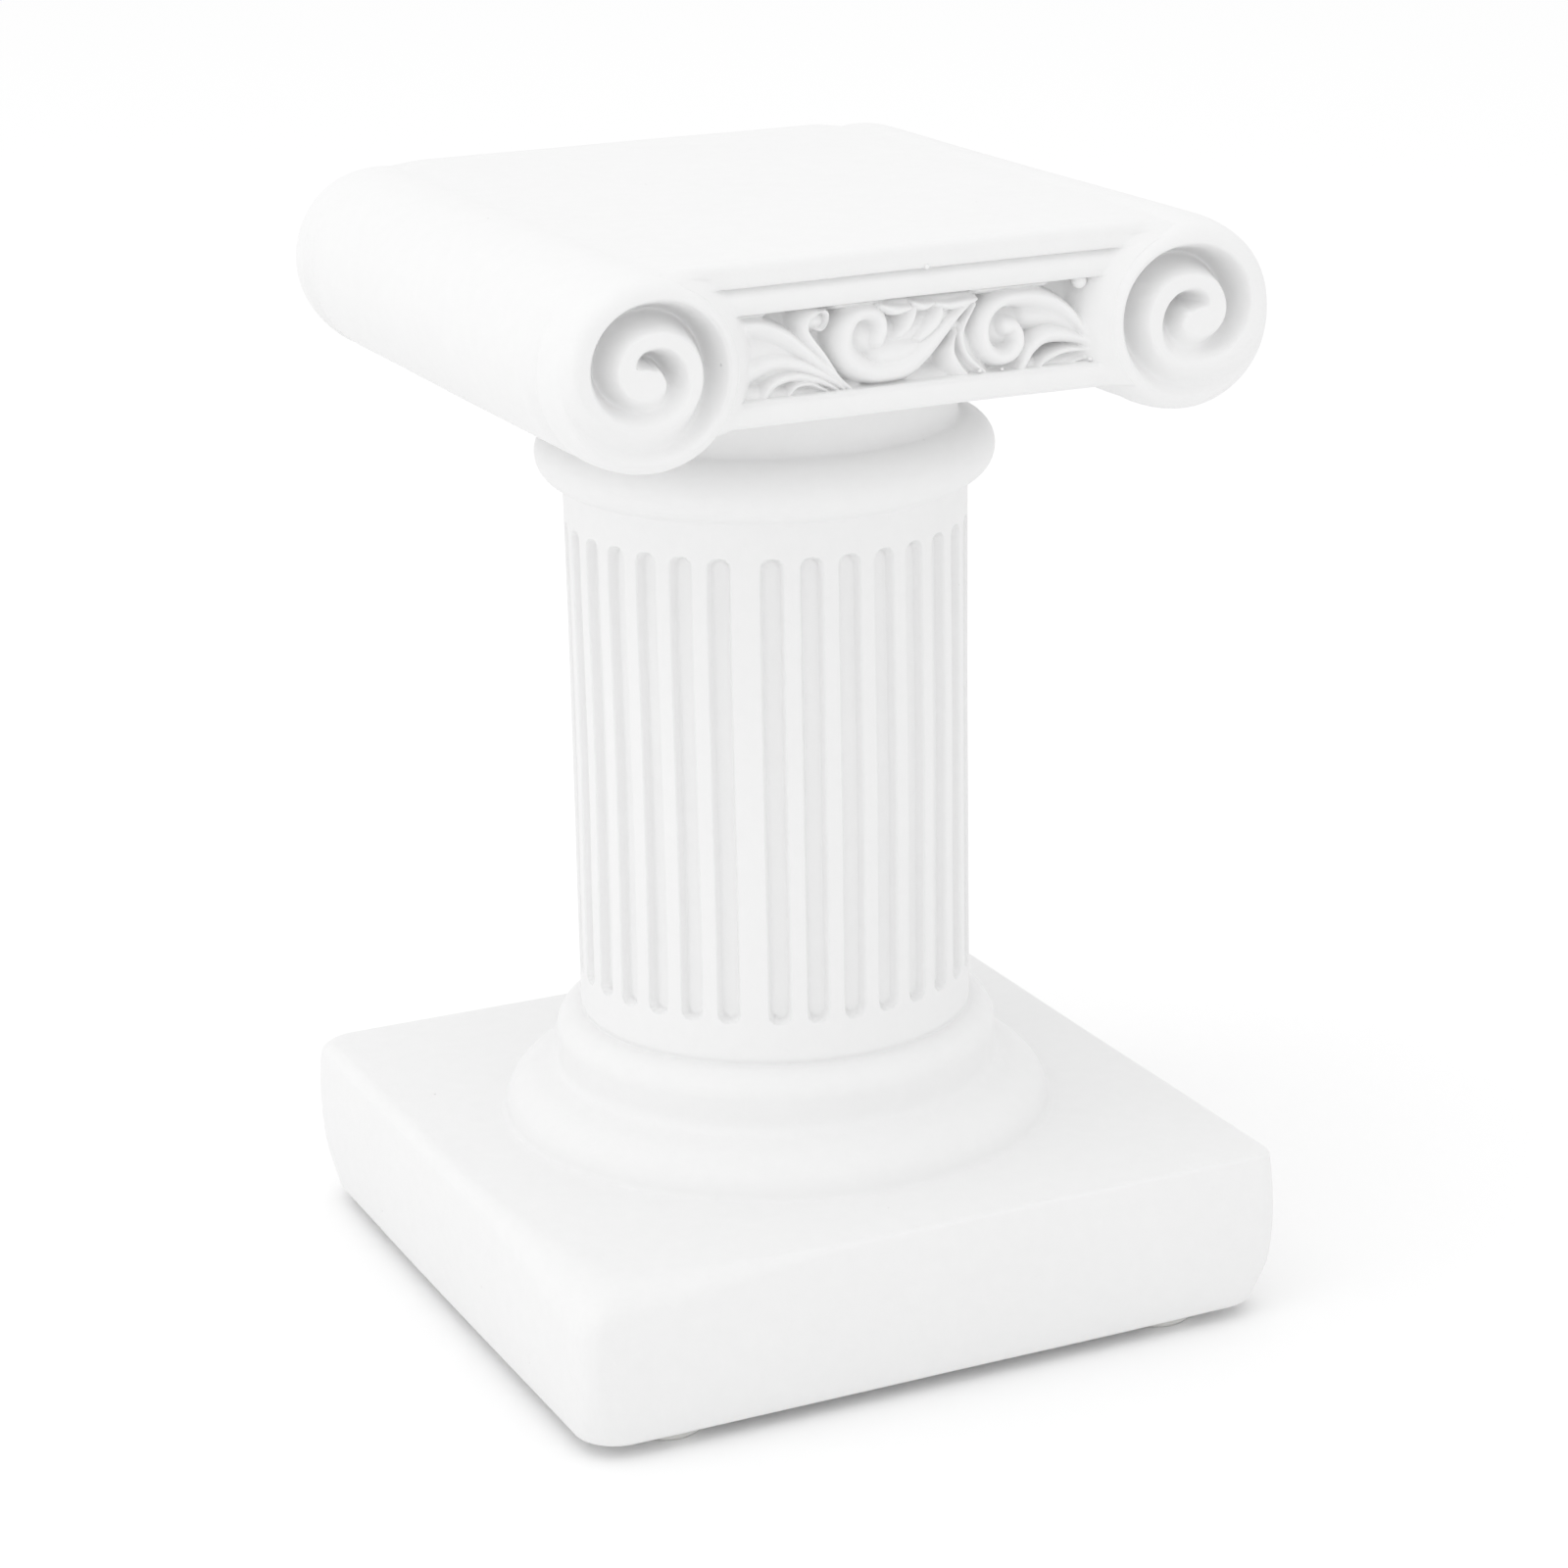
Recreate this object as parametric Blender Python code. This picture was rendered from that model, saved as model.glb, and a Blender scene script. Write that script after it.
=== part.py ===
"""A small Ionic column ornament, cast in one piece, on four stick-on pads.

The casting holds the plinth, the base mouldings, the fluted shaft, the neck and the capital
with its four volutes and its carved frieze. Lengths here are millimetres, and MM turns them
into metres. The front is -Y, up is +Z, and the origin lies on the floor under the middle of
the plinth. Heights are counted from the underside of the plinth until a mesh is made.
"""

import math

import bmesh
import bpy
from mathutils import Vector

MM = 0.001

# Pads under the plinth
PAD_DIAMETER = 10.0
PAD_THICKNESS = 1.5
PAD_EDGE = 0.3
PAD_GAP = 0.3
PAD_SIDE_MARGIN = 9.0
PAD_END_MARGIN = 3.0
PAD_STEPS = 24

# Plinth: its sides swell a little between the head and the foot, which is drawn in
PLINTH_SIDE = 100.0
PLINTH_HEIGHT = 21.8
PLINTH_SWELL = 1.0
PLINTH_DRAFT = 0.8
PLINTH_HEAD_EDGE = 0.5
PLINTH_FOOT_EDGE = 0.8
PLINTH_CORNER = 3.0
PLINTH_FOOT_CORNER = 5.5
PLINTH_FOOT_WEAR = 7.0
CORNER_STEPS = 5

# Turned mouldings: the base, the shaft and the neck. The upper torus rises from its widest line to
# the shaft, and its lower side ends at the tuck's angle in degrees
TURN_STEPS = 56
SHAFT_RADIUS = 26.7
SHAFT_HEIGHT = 73.6
BASE_HEIGHT = 14.5
LOWER_TORUS_REACH = 10.9
LOWER_TORUS_WIDTH = 8.0
LOWER_TORUS_HEIGHT = 6.2
UPPER_TORUS_REACH = 3.5
UPPER_TORUS_WIDTH = 3.6
UPPER_TORUS_RISE = 3.3
UPPER_TORUS_TUCK = 40
NECK_HEIGHT = 17.7
NECK_BEAD_RADIUS = 4.0
NECK_BEAD_INSET = 0.4
DRUM_INSET = 1.3
DRUM_BURIED = 3.0

# Flutes, in two halves that a wider fillet parts at each seam of the mould
FLUTES_IN_HALF = 16
SEAM_ANGLE = -120.8
SEAM_SPACING = 14.6
FLUTE_WIDTH = 3.1
FLUTE_DEPTH = 1.3
FLUTE_FOOT_MARGIN = 5.8
FLUTE_HEAD_MARGIN = 4.7

# Frieze between the volutes, from the top down
FASCIA_EDGE = 0.6
FASCIA_HEIGHT = 2.9
GROOVE_HEIGHT = 0.7
GROOVE_DEPTH = 0.9
BAND_HEIGHT = 2.9
BAND_CROWN = 0.5
PANEL_HEIGHT = 10.6
PANEL_DEPTH = 4.0
FOOT_BEAD_HEIGHT = 3.1
FOOT_BEAD_CROWN = 0.9

# Capital: its volutes are flush with its top and hang below the frieze
CAPITAL_WIDTH = 97.0
CAPITAL_DEPTH = 97.0
VOLUTE_HANG = 4.4
VOLUTE_PROUD = 2.0
VOLUTE_RIM = 2.8
VOLUTE_STEPS = 24

# The groove of a volute, at each quarter turn from the outer side, going down:
# its radius as a share of the volute's, and its depth
GROOVE_SHARES = (0.93, 0.74, 0.715, 0.655, 0.60, 0.375, 0.265, 0.205, 0.175)
GROOVE_DEPTHS = (0.7, 1.7, 2.6, 2.7, 2.5, 2.3, 2.1, 1.7, 0.3)
GROOVE_TURNS = 1.93

# Carving of the front frieze, in hundredths of the panel's height from its middle, right and up.
# A scroll is its eye, pairs of angle and distance from the eye, and widths; a leaf is its middle
# line and widths. The widths are at the start, the middle and the end.
CARVING_HEIGHT = 0.65
CARVING_BURIED = 0.7
GREAT_SCROLL = (
    (-58, 3),
    ((12, 124), (-14, 92), (-55, 67), (-100, 52), (-160, 45), (-220, 48), (-268, 42), (-320, 28), (-400, 17)),
    (6, 34, 19),
)
SMALL_SCROLL = (
    (116, -14),
    ((4, 109), (31, 75), (62, 56), (105, 42), (165, 34), (230, 32), (290, 27), (350, 23), (420, 16)),
    (6, 25, 17),
)
LEAVES = (
    (((-81, -56), (-126, -10), (-160, 20), (-198, 35), (-241, 38)), (7, 21, 28)),
    (((-91, -52), (-138, -25), (-174, -16), (-204, -25), (-221, -53)), (7, 18, 18)),
    (((-104, -51), (-145, -34), (-175, -35), (-194, -56)), (6, 13, 11)),
    (((-119, -53), (-147, -44), (-166, -58)), (5, 8, 8)),
    (((-83, -55), (-109, -16), (-125, 14), (-127, 34), (-117, 42), (-111, 27)), (6, 10, 13)),
    (((72, -57), (45, -42), (38, -19), (51, 9)), (15, 15, 6)),
    (((87, -43), (66, -23), (61, 4), (75, 30)), (7, 12, 6)),
    (((130, -57), (151, -26), (185, -14), (232, -28)), (11, 21, 15)),
    (((155, -57), (183, -40), (232, -36)), (8, 13, 9)),
    (((-43, 43), (-23, 34), (-6, 43)), (11, 17, 9)),
    (((-4, 45), (17, 37), (36, 45)), (9, 15, 9)),
    (((34, 42), (58, 34), (77, 47)), (9, 14, 8)),
    (((-11, 32), (-13, 17), (-23, 6)), (8, 13, 9)),
    (((32, 25), (13, 15), (6, -4)), (8, 13, 9)),
)
SCROLL_STATIONS = 15
LEAF_STATIONS = 6
BACK_SCROLL_STATIONS = 12

# Sizes that follow from the ones above
LIFT = PAD_THICKNESS + PAD_GAP
SHAFT_FOOT = PLINTH_HEIGHT + BASE_HEIGHT
SHAFT_HEAD = SHAFT_FOOT + SHAFT_HEIGHT
DRUM_RADIUS = SHAFT_RADIUS - DRUM_INSET
FRIEZE_FOOT = SHAFT_HEAD + NECK_HEIGHT
PANEL_FOOT = FRIEZE_FOOT + FOOT_BEAD_HEIGHT
PANEL_MIDDLE = PANEL_FOOT + PANEL_HEIGHT / 2
PANEL_TOP = PANEL_FOOT + PANEL_HEIGHT
BAND_TOP = PANEL_TOP + BAND_HEIGHT
GROOVE_TOP = BAND_TOP + GROOVE_HEIGHT
CAPITAL_TOP = GROOVE_TOP + FASCIA_HEIGHT
VOLUTE_RADIUS = (CAPITAL_TOP - FRIEZE_FOOT + VOLUTE_HANG) / 2
VOLUTE_HEIGHT = CAPITAL_TOP - VOLUTE_RADIUS
VOLUTE_PLACE = CAPITAL_WIDTH / 2 - VOLUTE_RADIUS
FASCIA_FACE = CAPITAL_DEPTH / 2 - VOLUTE_PROUD
PANEL_FACE = FASCIA_FACE - PANEL_DEPTH
CARVING_UNIT = PANEL_HEIGHT / 100
CARVING_PROUD = PANEL_DEPTH * CARVING_HEIGHT


def clear_scene():
    for old in list(bpy.data.objects):
        bpy.data.objects.remove(old, do_unlink=True)


def make_material(name, colour, roughness):
    material = bpy.data.materials.new(name)
    material.use_nodes = True
    shader = material.node_tree.nodes["Principled BSDF"]
    shader.inputs["Base Color"].default_value = (*colour, 1.0)
    shader.inputs["Roughness"].default_value = roughness
    shader.inputs["Metallic"].default_value = 0.0
    return material


def make_object(name, mesh_builder, material=None):
    """A named object whose mesh is what mesh_builder leaves in an empty bmesh, facing outwards."""
    built = bmesh.new()
    mesh_builder(built)
    bmesh.ops.recalc_face_normals(built, faces=built.faces)
    mesh = bpy.data.meshes.new(name)
    built.to_mesh(mesh)
    built.free()
    mesh.shade_smooth()
    mesh.set_sharp_from_angle(angle=math.radians(35))
    if material:
        mesh.materials.append(material)
    made = bpy.data.objects.new(name, mesh)
    bpy.context.collection.objects.link(made)
    return made


def add_vertex(built, x, y, height):
    """A vertex from millimetres, with its height counted from the plinth's underside."""
    return built.verts.new(Vector((x, y, height + LIFT)) * MM)


def ease(share):
    return share * share * (3 - 2 * share)


def between(values, place):
    """The smooth value at a fractional place in an even row of values."""
    index = min(int(place), len(values) - 2)
    share = place - index
    before = values[max(index - 1, 0)]
    start, end = values[index], values[index + 1]
    after = values[min(index + 2, len(values) - 1)]
    bend = 2 * before - 5 * start + 4 * end - after
    twist = 3 * start - before - 3 * end + after
    return start + 0.5 * share * ((end - before) + share * (bend + share * twist))


def ellipse_arc(centre, half_width, half_height, start, end, steps):
    """Points (radius, height) of an elliptical arc between two angles in degrees."""
    points = []
    for step in range(steps + 1):
        angle = math.radians(start + (end - start) * step / steps)
        points.append((centre[0] + half_width * math.cos(angle), centre[1] + half_height * math.sin(angle)))
    return points


def turn_of(vertex):
    return math.atan2(vertex.co.y, vertex.co.x)


def unrolled(ring, start):
    """The angle of each vertex round the axis from a start angle, and of the first one again."""
    angles = [math.remainder(turn_of(ring[0]) - start, math.tau)]
    for before, after in zip(ring, ring[1:] + ring[:1]):
        angles.append(angles[-1] + math.remainder(turn_of(after) - turn_of(before), math.tau))
    return angles


def bridge(built, lower, upper):
    """Triangles between two closed rings of vertices that run the same way round."""
    start = turn_of(lower[0])
    nearest = min(range(len(upper)), key=lambda j: abs(math.remainder(turn_of(upper[j]) - start, math.tau)))
    upper = upper[nearest:] + upper[:nearest]
    low = unrolled(lower, start)
    up = unrolled(upper, start)
    i = j = 0
    while i < len(lower) or j < len(upper):
        step_low = j == len(upper) or (i < len(lower) and low[i + 1] - up[j] <= up[j + 1] - low[i])
        a, b = lower[i % len(lower)], upper[j % len(upper)]
        if step_low:
            i += 1
            built.faces.new((a, lower[i % len(lower)], b))
        else:
            j += 1
            built.faces.new((a, upper[j % len(upper)], b))


def rounded_square(built, half, corner, height):
    """A ring of vertices round a square with round corners, starting near the +X axis."""
    reach = half - corner
    ring = []
    for quarter, (x, y) in enumerate(((reach, reach), (-reach, reach), (-reach, -reach), (reach, -reach))):
        for step in range(CORNER_STEPS + 1):
            angle = math.radians(90 * (quarter + step / CORNER_STEPS))
            ring.append(add_vertex(built, x + corner * math.cos(angle), y + corner * math.sin(angle), height))
    return ring


def plinth_rings(built):
    """The plinth from its underside to its top, with its corners more worn at the foot."""
    side = PLINTH_HEIGHT - PLINTH_FOOT_EDGE - PLINTH_HEAD_EDGE
    levels = [(PLINTH_FOOT_EDGE, 0.0)]
    levels += [(0.0, PLINTH_FOOT_EDGE + side * share) for share in (0.0, 0.15, 0.32, 0.6, 0.85, 1.0)]
    levels.append((PLINTH_HEAD_EDGE, PLINTH_HEIGHT))
    rings = []
    for inset, height in levels:
        share = height / PLINTH_HEIGHT
        half = PLINTH_SIDE / 2 - PLINTH_DRAFT * (1 - share) + PLINTH_SWELL * 4 * share * (1 - share)
        wear = 1 - ease(min(height / PLINTH_FOOT_WEAR, 1.0))
        corner = PLINTH_CORNER + (PLINTH_FOOT_CORNER - PLINTH_CORNER) * wear
        rings.append(rounded_square(built, half - inset, corner, height))
    return rings


def turned_ring(built, radius, height):
    """A plain ring of the mouldings."""
    return [
        add_vertex(built, radius * math.cos(turn), radius * math.sin(turn), height)
        for turn in (math.tau * step / TURN_STEPS for step in range(TURN_STEPS))
    ]


def base_profile():
    """The base: a broad lower torus, and an upper one whose long lower side runs down to it."""
    lower_centre = (SHAFT_RADIUS + LOWER_TORUS_REACH - LOWER_TORUS_WIDTH, PLINTH_HEIGHT)
    lower = ellipse_arc(lower_centre, LOWER_TORUS_WIDTH, LOWER_TORUS_HEIGHT, 0, 84, 5)
    widest = SHAFT_FOOT - UPPER_TORUS_RISE
    upper_centre = (SHAFT_RADIUS + UPPER_TORUS_REACH - UPPER_TORUS_WIDTH, widest)
    fall = (widest - PLINTH_HEIGHT - LOWER_TORUS_HEIGHT) / math.sin(math.radians(UPPER_TORUS_TUCK))
    under = ellipse_arc(upper_centre, UPPER_TORUS_WIDTH, fall, -UPPER_TORUS_TUCK, 0, 2)
    over = ellipse_arc(upper_centre, UPPER_TORUS_WIDTH, UPPER_TORUS_RISE, 0, 80, 3)
    return lower + under + over[1:]


def neck_profile():
    """The bead under the capital and the drum that rises into it."""
    centre = (SHAFT_RADIUS - NECK_BEAD_INSET, SHAFT_HEAD + NECK_BEAD_RADIUS)
    bead = ellipse_arc(centre, NECK_BEAD_RADIUS, NECK_BEAD_RADIUS, -84, 96, 7)
    drum = [(DRUM_RADIUS, centre[1] + NECK_BEAD_RADIUS), (DRUM_RADIUS, FRIEZE_FOOT + DRUM_BURIED)]
    return bead + drum


def flute_angles():
    """The middle of each flute, in degrees, with a wider fillet at each seam of the mould."""
    spacing = (180 - SEAM_SPACING) / (FLUTES_IN_HALF - 1)
    angles = []
    for half in range(2):
        first = SEAM_ANGLE + 180 * half + SEAM_SPACING / 2
        angles += [first + spacing * index for index in range(FLUTES_IN_HALF)]
    return angles


def fluted_ring(built, height, width_share, depth_share):
    """A ring of the shaft with five vertices to a flute."""
    half_turn = math.degrees(FLUTE_WIDTH / 2 / SHAFT_RADIUS) * width_share
    section = ((-1, 0.0), (-0.6, 0.8), (0, 1.0), (0.6, 0.8), (1, 0.0))
    ring = []
    for middle in flute_angles():
        for across, sunk in section:
            turn = math.radians(middle + across * half_turn)
            radius = SHAFT_RADIUS - FLUTE_DEPTH * sunk * depth_share
            ring.append(add_vertex(built, radius * math.cos(turn), radius * math.sin(turn), height))
    return ring


def shaft_rings(built):
    """The fluted length of the shaft, whose flutes end in half rounds."""
    foot = SHAFT_FOOT + FLUTE_FOOT_MARGIN
    head = SHAFT_HEAD - FLUTE_HEAD_MARGIN
    end_length = FLUTE_WIDTH / 2
    ends = ((0.0, 0.3, 0.0), (0.3, 0.7, 0.75), (1.0, 1.0, 1.0))
    levels = [(foot + end_length * along, width, depth) for along, width, depth in ends]
    levels += [(head - end_length * along, width, depth) for along, width, depth in reversed(ends)]
    return [fluted_ring(built, *level) for level in levels]


def build_lower_casting(built):
    """Plinth, base, shaft and neck as one closed skin."""
    plinth = plinth_rings(built)
    mouldings = [turned_ring(built, radius, height) for radius, height in base_profile()]
    mouldings.append(turned_ring(built, SHAFT_RADIUS, SHAFT_FOOT))
    neck = [turned_ring(built, SHAFT_RADIUS, SHAFT_HEAD)]
    neck += [turned_ring(built, radius, height) for radius, height in neck_profile()]
    rings = plinth + mouldings + shaft_rings(built) + neck
    for lower, upper in zip(rings, rings[1:]):
        bridge(built, lower, upper)
    built.faces.new(rings[0])
    built.faces.new(rings[-1])


def groove_at(step):
    """Radius and depth of a volute's groove at a number of steps from where it starts."""
    quarter = min(4 * step / VOLUTE_STEPS, len(GROOVE_SHARES) - 1)
    return VOLUTE_RADIUS * between(GROOVE_SHARES, quarter), between(GROOVE_DEPTHS, quarter)


def volute_point(built, side, end, step, radius, sunk):
    """A vertex on a volute: side -1 is left, end -1 is the front, and steps go down from outside."""
    angle = math.tau * step / VOLUTE_STEPS
    x = side * (VOLUTE_PLACE + radius * math.cos(angle))
    y = end * (CAPITAL_DEPTH / 2 - sunk)
    return add_vertex(built, x, y, VOLUTE_HEIGHT - radius * math.sin(angle))


def volute_line(built, side, end, step, outer, inner, inner_radius, inner_depth):
    """The vertices across one coil, from its outer groove to its inner one."""
    outer_radius, outer_depth = outer[1:]
    line = [outer[0]]
    for share in (0.25, 0.5, 0.75):
        radius = outer_radius + (inner_radius - outer_radius) * share
        roundness = 1 - math.sqrt(4 * share * (1 - share))
        sunk = (outer_depth + (inner_depth - outer_depth) * share) * roundness
        line.append(volute_point(built, side, end, step, radius, sunk))
    return line + [inner]


def volute_face(built, side, end):
    """The coiled end of a bolster, and the ring of vertices round its rim."""
    last = round(GROOVE_TURNS * VOLUTE_STEPS)
    rim_radius, rim_depth = groove_at(0)
    rim = [volute_point(built, side, end, step, rim_radius, rim_depth) for step in range(VOLUTE_STEPS)]
    groove = {step: (rim[step % VOLUTE_STEPS], rim_radius, rim_depth) for step in range(-VOLUTE_STEPS, 1)}
    for step in range(1, last + 1):
        radius, depth = groove_at(step)
        groove[step] = (volute_point(built, side, end, step, radius, depth), radius, depth)
    eye = volute_point(built, side, end, 0, 0.0, 0.0)
    lines = {}
    for step in range(-VOLUTE_STEPS, last + 1):
        inner = groove.get(step + VOLUTE_STEPS, (eye, 0.0, 0.0))
        lines[step] = volute_line(built, side, end, step, groove[step], inner[0], inner[1], inner[2])
    tail = last - VOLUTE_STEPS
    for step in range(-VOLUTE_STEPS, last):
        here, there = lines[step], lines[step + 1]
        if step == tail:
            fan_across(built, here + lines[last][1:], there)
            continue
        for a, b, c, d in zip(here, here[1:], there[1:], there):
            corners = [v for i, v in enumerate((a, b, c, d)) if v not in (a, b, c, d)[:i]]
            built.faces.new(corners)
    return rim


def fan_across(built, here, there):
    """Triangles between two lines that start apart and end in the same vertex."""
    i = j = 0
    while i < len(here) - 1 or j < len(there) - 1:
        ahead_here = (i + 1) / (len(here) - 1)
        ahead_there = (j + 1) / (len(there) - 1)
        if j == len(there) - 1 or (i < len(here) - 1 and ahead_here <= ahead_there):
            corners = (here[i], here[i + 1], there[j])
            i += 1
        else:
            corners = (here[i], there[j + 1], there[j])
            j += 1
        if len(set(corners)) == 3:
            built.faces.new(corners)


def build_bolster(built, side):
    """One bolster with a coiled volute at each end."""
    loops = []
    for end in (-1, 1):
        rim = volute_face(built, side, end)
        edge = [volute_point(built, side, end, step, VOLUTE_RADIUS, VOLUTE_RIM) for step in range(VOLUTE_STEPS)]
        loops.append([rim, edge])
    strips = [loops[0], loops[1], [loops[0][1], loops[1][1]]]
    for first, second in strips:
        for step in range(VOLUTE_STEPS):
            after = (step + 1) % VOLUTE_STEPS
            built.faces.new((first[step], first[after], second[after], second[step]))


def frieze_profile():
    """Half of the capital's section across the frieze: (reach from the middle, height) from the top."""
    face = FASCIA_FACE
    points = [(face - FASCIA_EDGE, CAPITAL_TOP), (face, CAPITAL_TOP - FASCIA_EDGE), (face, GROOVE_TOP)]
    points.append((face - GROOVE_DEPTH, (GROOVE_TOP + BAND_TOP) / 2))
    for step in range(5):
        across = step / 4
        crown = BAND_CROWN * (4 * across * (1 - across))
        points.append((face - BAND_CROWN + crown, BAND_TOP - BAND_HEIGHT * across))
    points += [(PANEL_FACE, PANEL_TOP), (PANEL_FACE, PANEL_FOOT)]
    for step in range(5):
        across = step / 4
        crown = FOOT_BEAD_CROWN * math.sqrt(4 * across * (1 - across))
        points.append((face - FOOT_BEAD_CROWN + crown, PANEL_FOOT - FOOT_BEAD_HEIGHT * across))
    return points


def build_capital_core(built):
    """The block between the bolsters, with the same frieze section at the front and at the back."""
    half = frieze_profile()
    outline = [(-reach, height) for reach, height in half] + [(reach, height) for reach, height in reversed(half)]
    ends = []
    for side in (-1, 1):
        ends.append([add_vertex(built, side * VOLUTE_PLACE, y, height) for y, height in outline])
    count = len(outline)
    for index in range(count):
        after = (index + 1) % count
        built.faces.new((ends[0][index], ends[0][after], ends[1][after], ends[1][index]))
    built.faces.new(ends[0])
    built.faces.new(ends[1])


def scroll_path(centre, turns, stations):
    """A scroll's middle line: points whose angle and radius pass smoothly through the given pairs."""
    angles = [angle for angle, radius in turns]
    radii = [radius for angle, radius in turns]
    path = []
    for index in range(stations):
        place = (len(turns) - 1) * index / (stations - 1)
        angle = math.radians(between(angles, place))
        radius = between(radii, place)
        path.append((centre[0] + radius * math.cos(angle), centre[1] + radius * math.sin(angle)))
    return path


def leaf_path(points, stations):
    """A leaf's middle line, smooth through its points."""
    path = []
    for index in range(stations):
        place = (len(points) - 1) * index / (stations - 1)
        path.append((between([p[0] for p in points], place), between([p[1] for p in points], place)))
    return path


def add_ridge(built, end, path, widths):
    """A raised stroke of the carving: a low rounded bar along a path, sunk a little in the panel."""
    rings = []
    for index, (x, up) in enumerate(path):
        before, after = path[max(index - 1, 0)], path[min(index + 1, len(path) - 1)]
        along = Vector((after[0] - before[0], after[1] - before[1])).normalized()
        share = index / (len(path) - 1)
        width = between(widths, 2 * share)
        raised = CARVING_PROUD * (0.55 + 0.45 * math.sin(math.pi * (0.1 + 0.8 * share)))
        ring = []
        for across, lift in ((-0.5, -CARVING_BURIED), (-0.28, raised), (0.28, raised), (0.5, -CARVING_BURIED)):
            px = (x - along.y * width * across) * CARVING_UNIT
            pz = (up + along.x * width * across) * CARVING_UNIT
            ring.append(add_vertex(built, px, end * (PANEL_FACE + lift), PANEL_MIDDLE + pz))
        rings.append(ring)
    for first, second in zip(rings, rings[1:]):
        for index in range(4):
            after = (index + 1) % 4
            built.faces.new((first[index], first[after], second[after], second[index]))
    built.faces.new(rings[0])
    built.faces.new(rings[-1])


def build_front_scroll(built, scroll):
    centre, turns, widths = scroll
    add_ridge(built, -1, scroll_path(centre, turns, SCROLL_STATIONS), widths)


def build_back_scroll(built, side):
    """The back carries one plain pair of scrolls, turned away from each other."""
    centre, turns, widths = SMALL_SCROLL
    path = scroll_path(centre, turns, BACK_SCROLL_STATIONS)
    add_ridge(built, 1, [(side * x, up) for x, up in path], widths)


def make_cutter(name, builder, *arguments):
    """A solid that is only joined into the casting."""
    tool = make_object(name, lambda built: builder(built, *arguments))
    tool.hide_render = True
    tool.display_type = "WIRE"
    return tool


def join_to(target, tool):
    union = target.modifiers.new("join_" + tool.name, "BOOLEAN")
    union.operation = "UNION"
    union.solver = "EXACT"
    union.object = tool


def make_casting(material):
    """The whole casting: the lower part with the capital joined to it."""
    casting = make_object("column", build_lower_casting, material)
    join_to(casting, make_cutter("capital_core", build_capital_core))
    for side, word in ((-1, "left"), (1, "right")):
        join_to(casting, make_cutter("bolster_" + word, build_bolster, side))
    join_to(casting, make_cutter("great_scroll", build_front_scroll, GREAT_SCROLL))
    join_to(casting, make_cutter("small_scroll", build_front_scroll, SMALL_SCROLL))
    for index, (points, widths) in enumerate(LEAVES):
        path = leaf_path(points, LEAF_STATIONS)
        join_to(casting, make_cutter(f"leaf_{index:02d}", add_ridge, -1, path, widths))
    for side, word in ((-1, "left"), (1, "right")):
        join_to(casting, make_cutter("back_scroll_" + word, build_back_scroll, side))
    return casting


def build_pad(built, x, y):
    """A thin round pad with a small bevel round its lower face."""
    radius = PAD_DIAMETER / 2
    levels = ((0.0, PAD_EDGE), (PAD_EDGE, 0.0), (PAD_THICKNESS, 0.0))
    rings = []
    for height, inset in levels:
        ring = []
        for step in range(PAD_STEPS):
            turn = math.tau * step / PAD_STEPS
            reach = radius - inset
            ring.append(add_vertex(built, x + reach * math.cos(turn), y + reach * math.sin(turn), height - LIFT))
        rings.append(ring)
    for lower, upper in zip(rings, rings[1:]):
        for step in range(PAD_STEPS):
            after = (step + 1) % PAD_STEPS
            built.faces.new((lower[step], lower[after], upper[after], upper[step]))
    built.faces.new(rings[0])
    built.faces.new(rings[-1])


def make_pads(material):
    reach = PLINTH_SIDE / 2 - PAD_DIAMETER / 2
    for end, end_word in ((-1, "front"), (1, "back")):
        for side, side_word in ((-1, "left"), (1, "right")):
            x = side * (reach - PAD_SIDE_MARGIN)
            y = end * (reach - PAD_END_MARGIN)
            make_object(f"pad_{end_word}_{side_word}", lambda built: build_pad(built, x, y), material)


def main():
    clear_scene()
    plaster = make_material("white_cast_plaster", (0.86, 0.86, 0.85), 0.72)
    rubber = make_material("clear_pad_rubber", (0.80, 0.80, 0.78), 0.35)
    make_casting(plaster)
    make_pads(rubber)


main()
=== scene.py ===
"""The finished look of a small Ionic column ornament, cast in white plaster, on stick-on pads.

Lengths in the making functions are millimetres, and MM turns them into metres. The front is -Y
and up is +Z. Heights are counted from the underside of the plinth, which stands LIFT above the
floor.
"""

import math

import bmesh
import bpy
import numpy as np
from bpy.props import FloatProperty, FloatVectorProperty, IntProperty, PointerProperty
from mathutils import Matrix, Vector


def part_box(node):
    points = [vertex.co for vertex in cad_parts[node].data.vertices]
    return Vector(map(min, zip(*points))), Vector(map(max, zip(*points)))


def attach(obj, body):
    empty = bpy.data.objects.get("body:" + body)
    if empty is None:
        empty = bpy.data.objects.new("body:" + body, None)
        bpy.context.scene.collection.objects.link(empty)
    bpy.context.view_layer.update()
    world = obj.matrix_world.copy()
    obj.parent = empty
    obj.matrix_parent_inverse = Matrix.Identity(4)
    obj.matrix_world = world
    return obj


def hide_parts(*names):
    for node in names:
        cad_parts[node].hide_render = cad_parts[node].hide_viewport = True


bl_info = {
    "name": "Ionic Column Ornament",
    "version": (1, 0, 0),
    "blender": (4, 5, 0),
    "location": "3D View > Sidebar > Ornament",
    "description": "Makes the plaster casting, its pads and the stage it stands on",
    "category": "Object",
}

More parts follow.
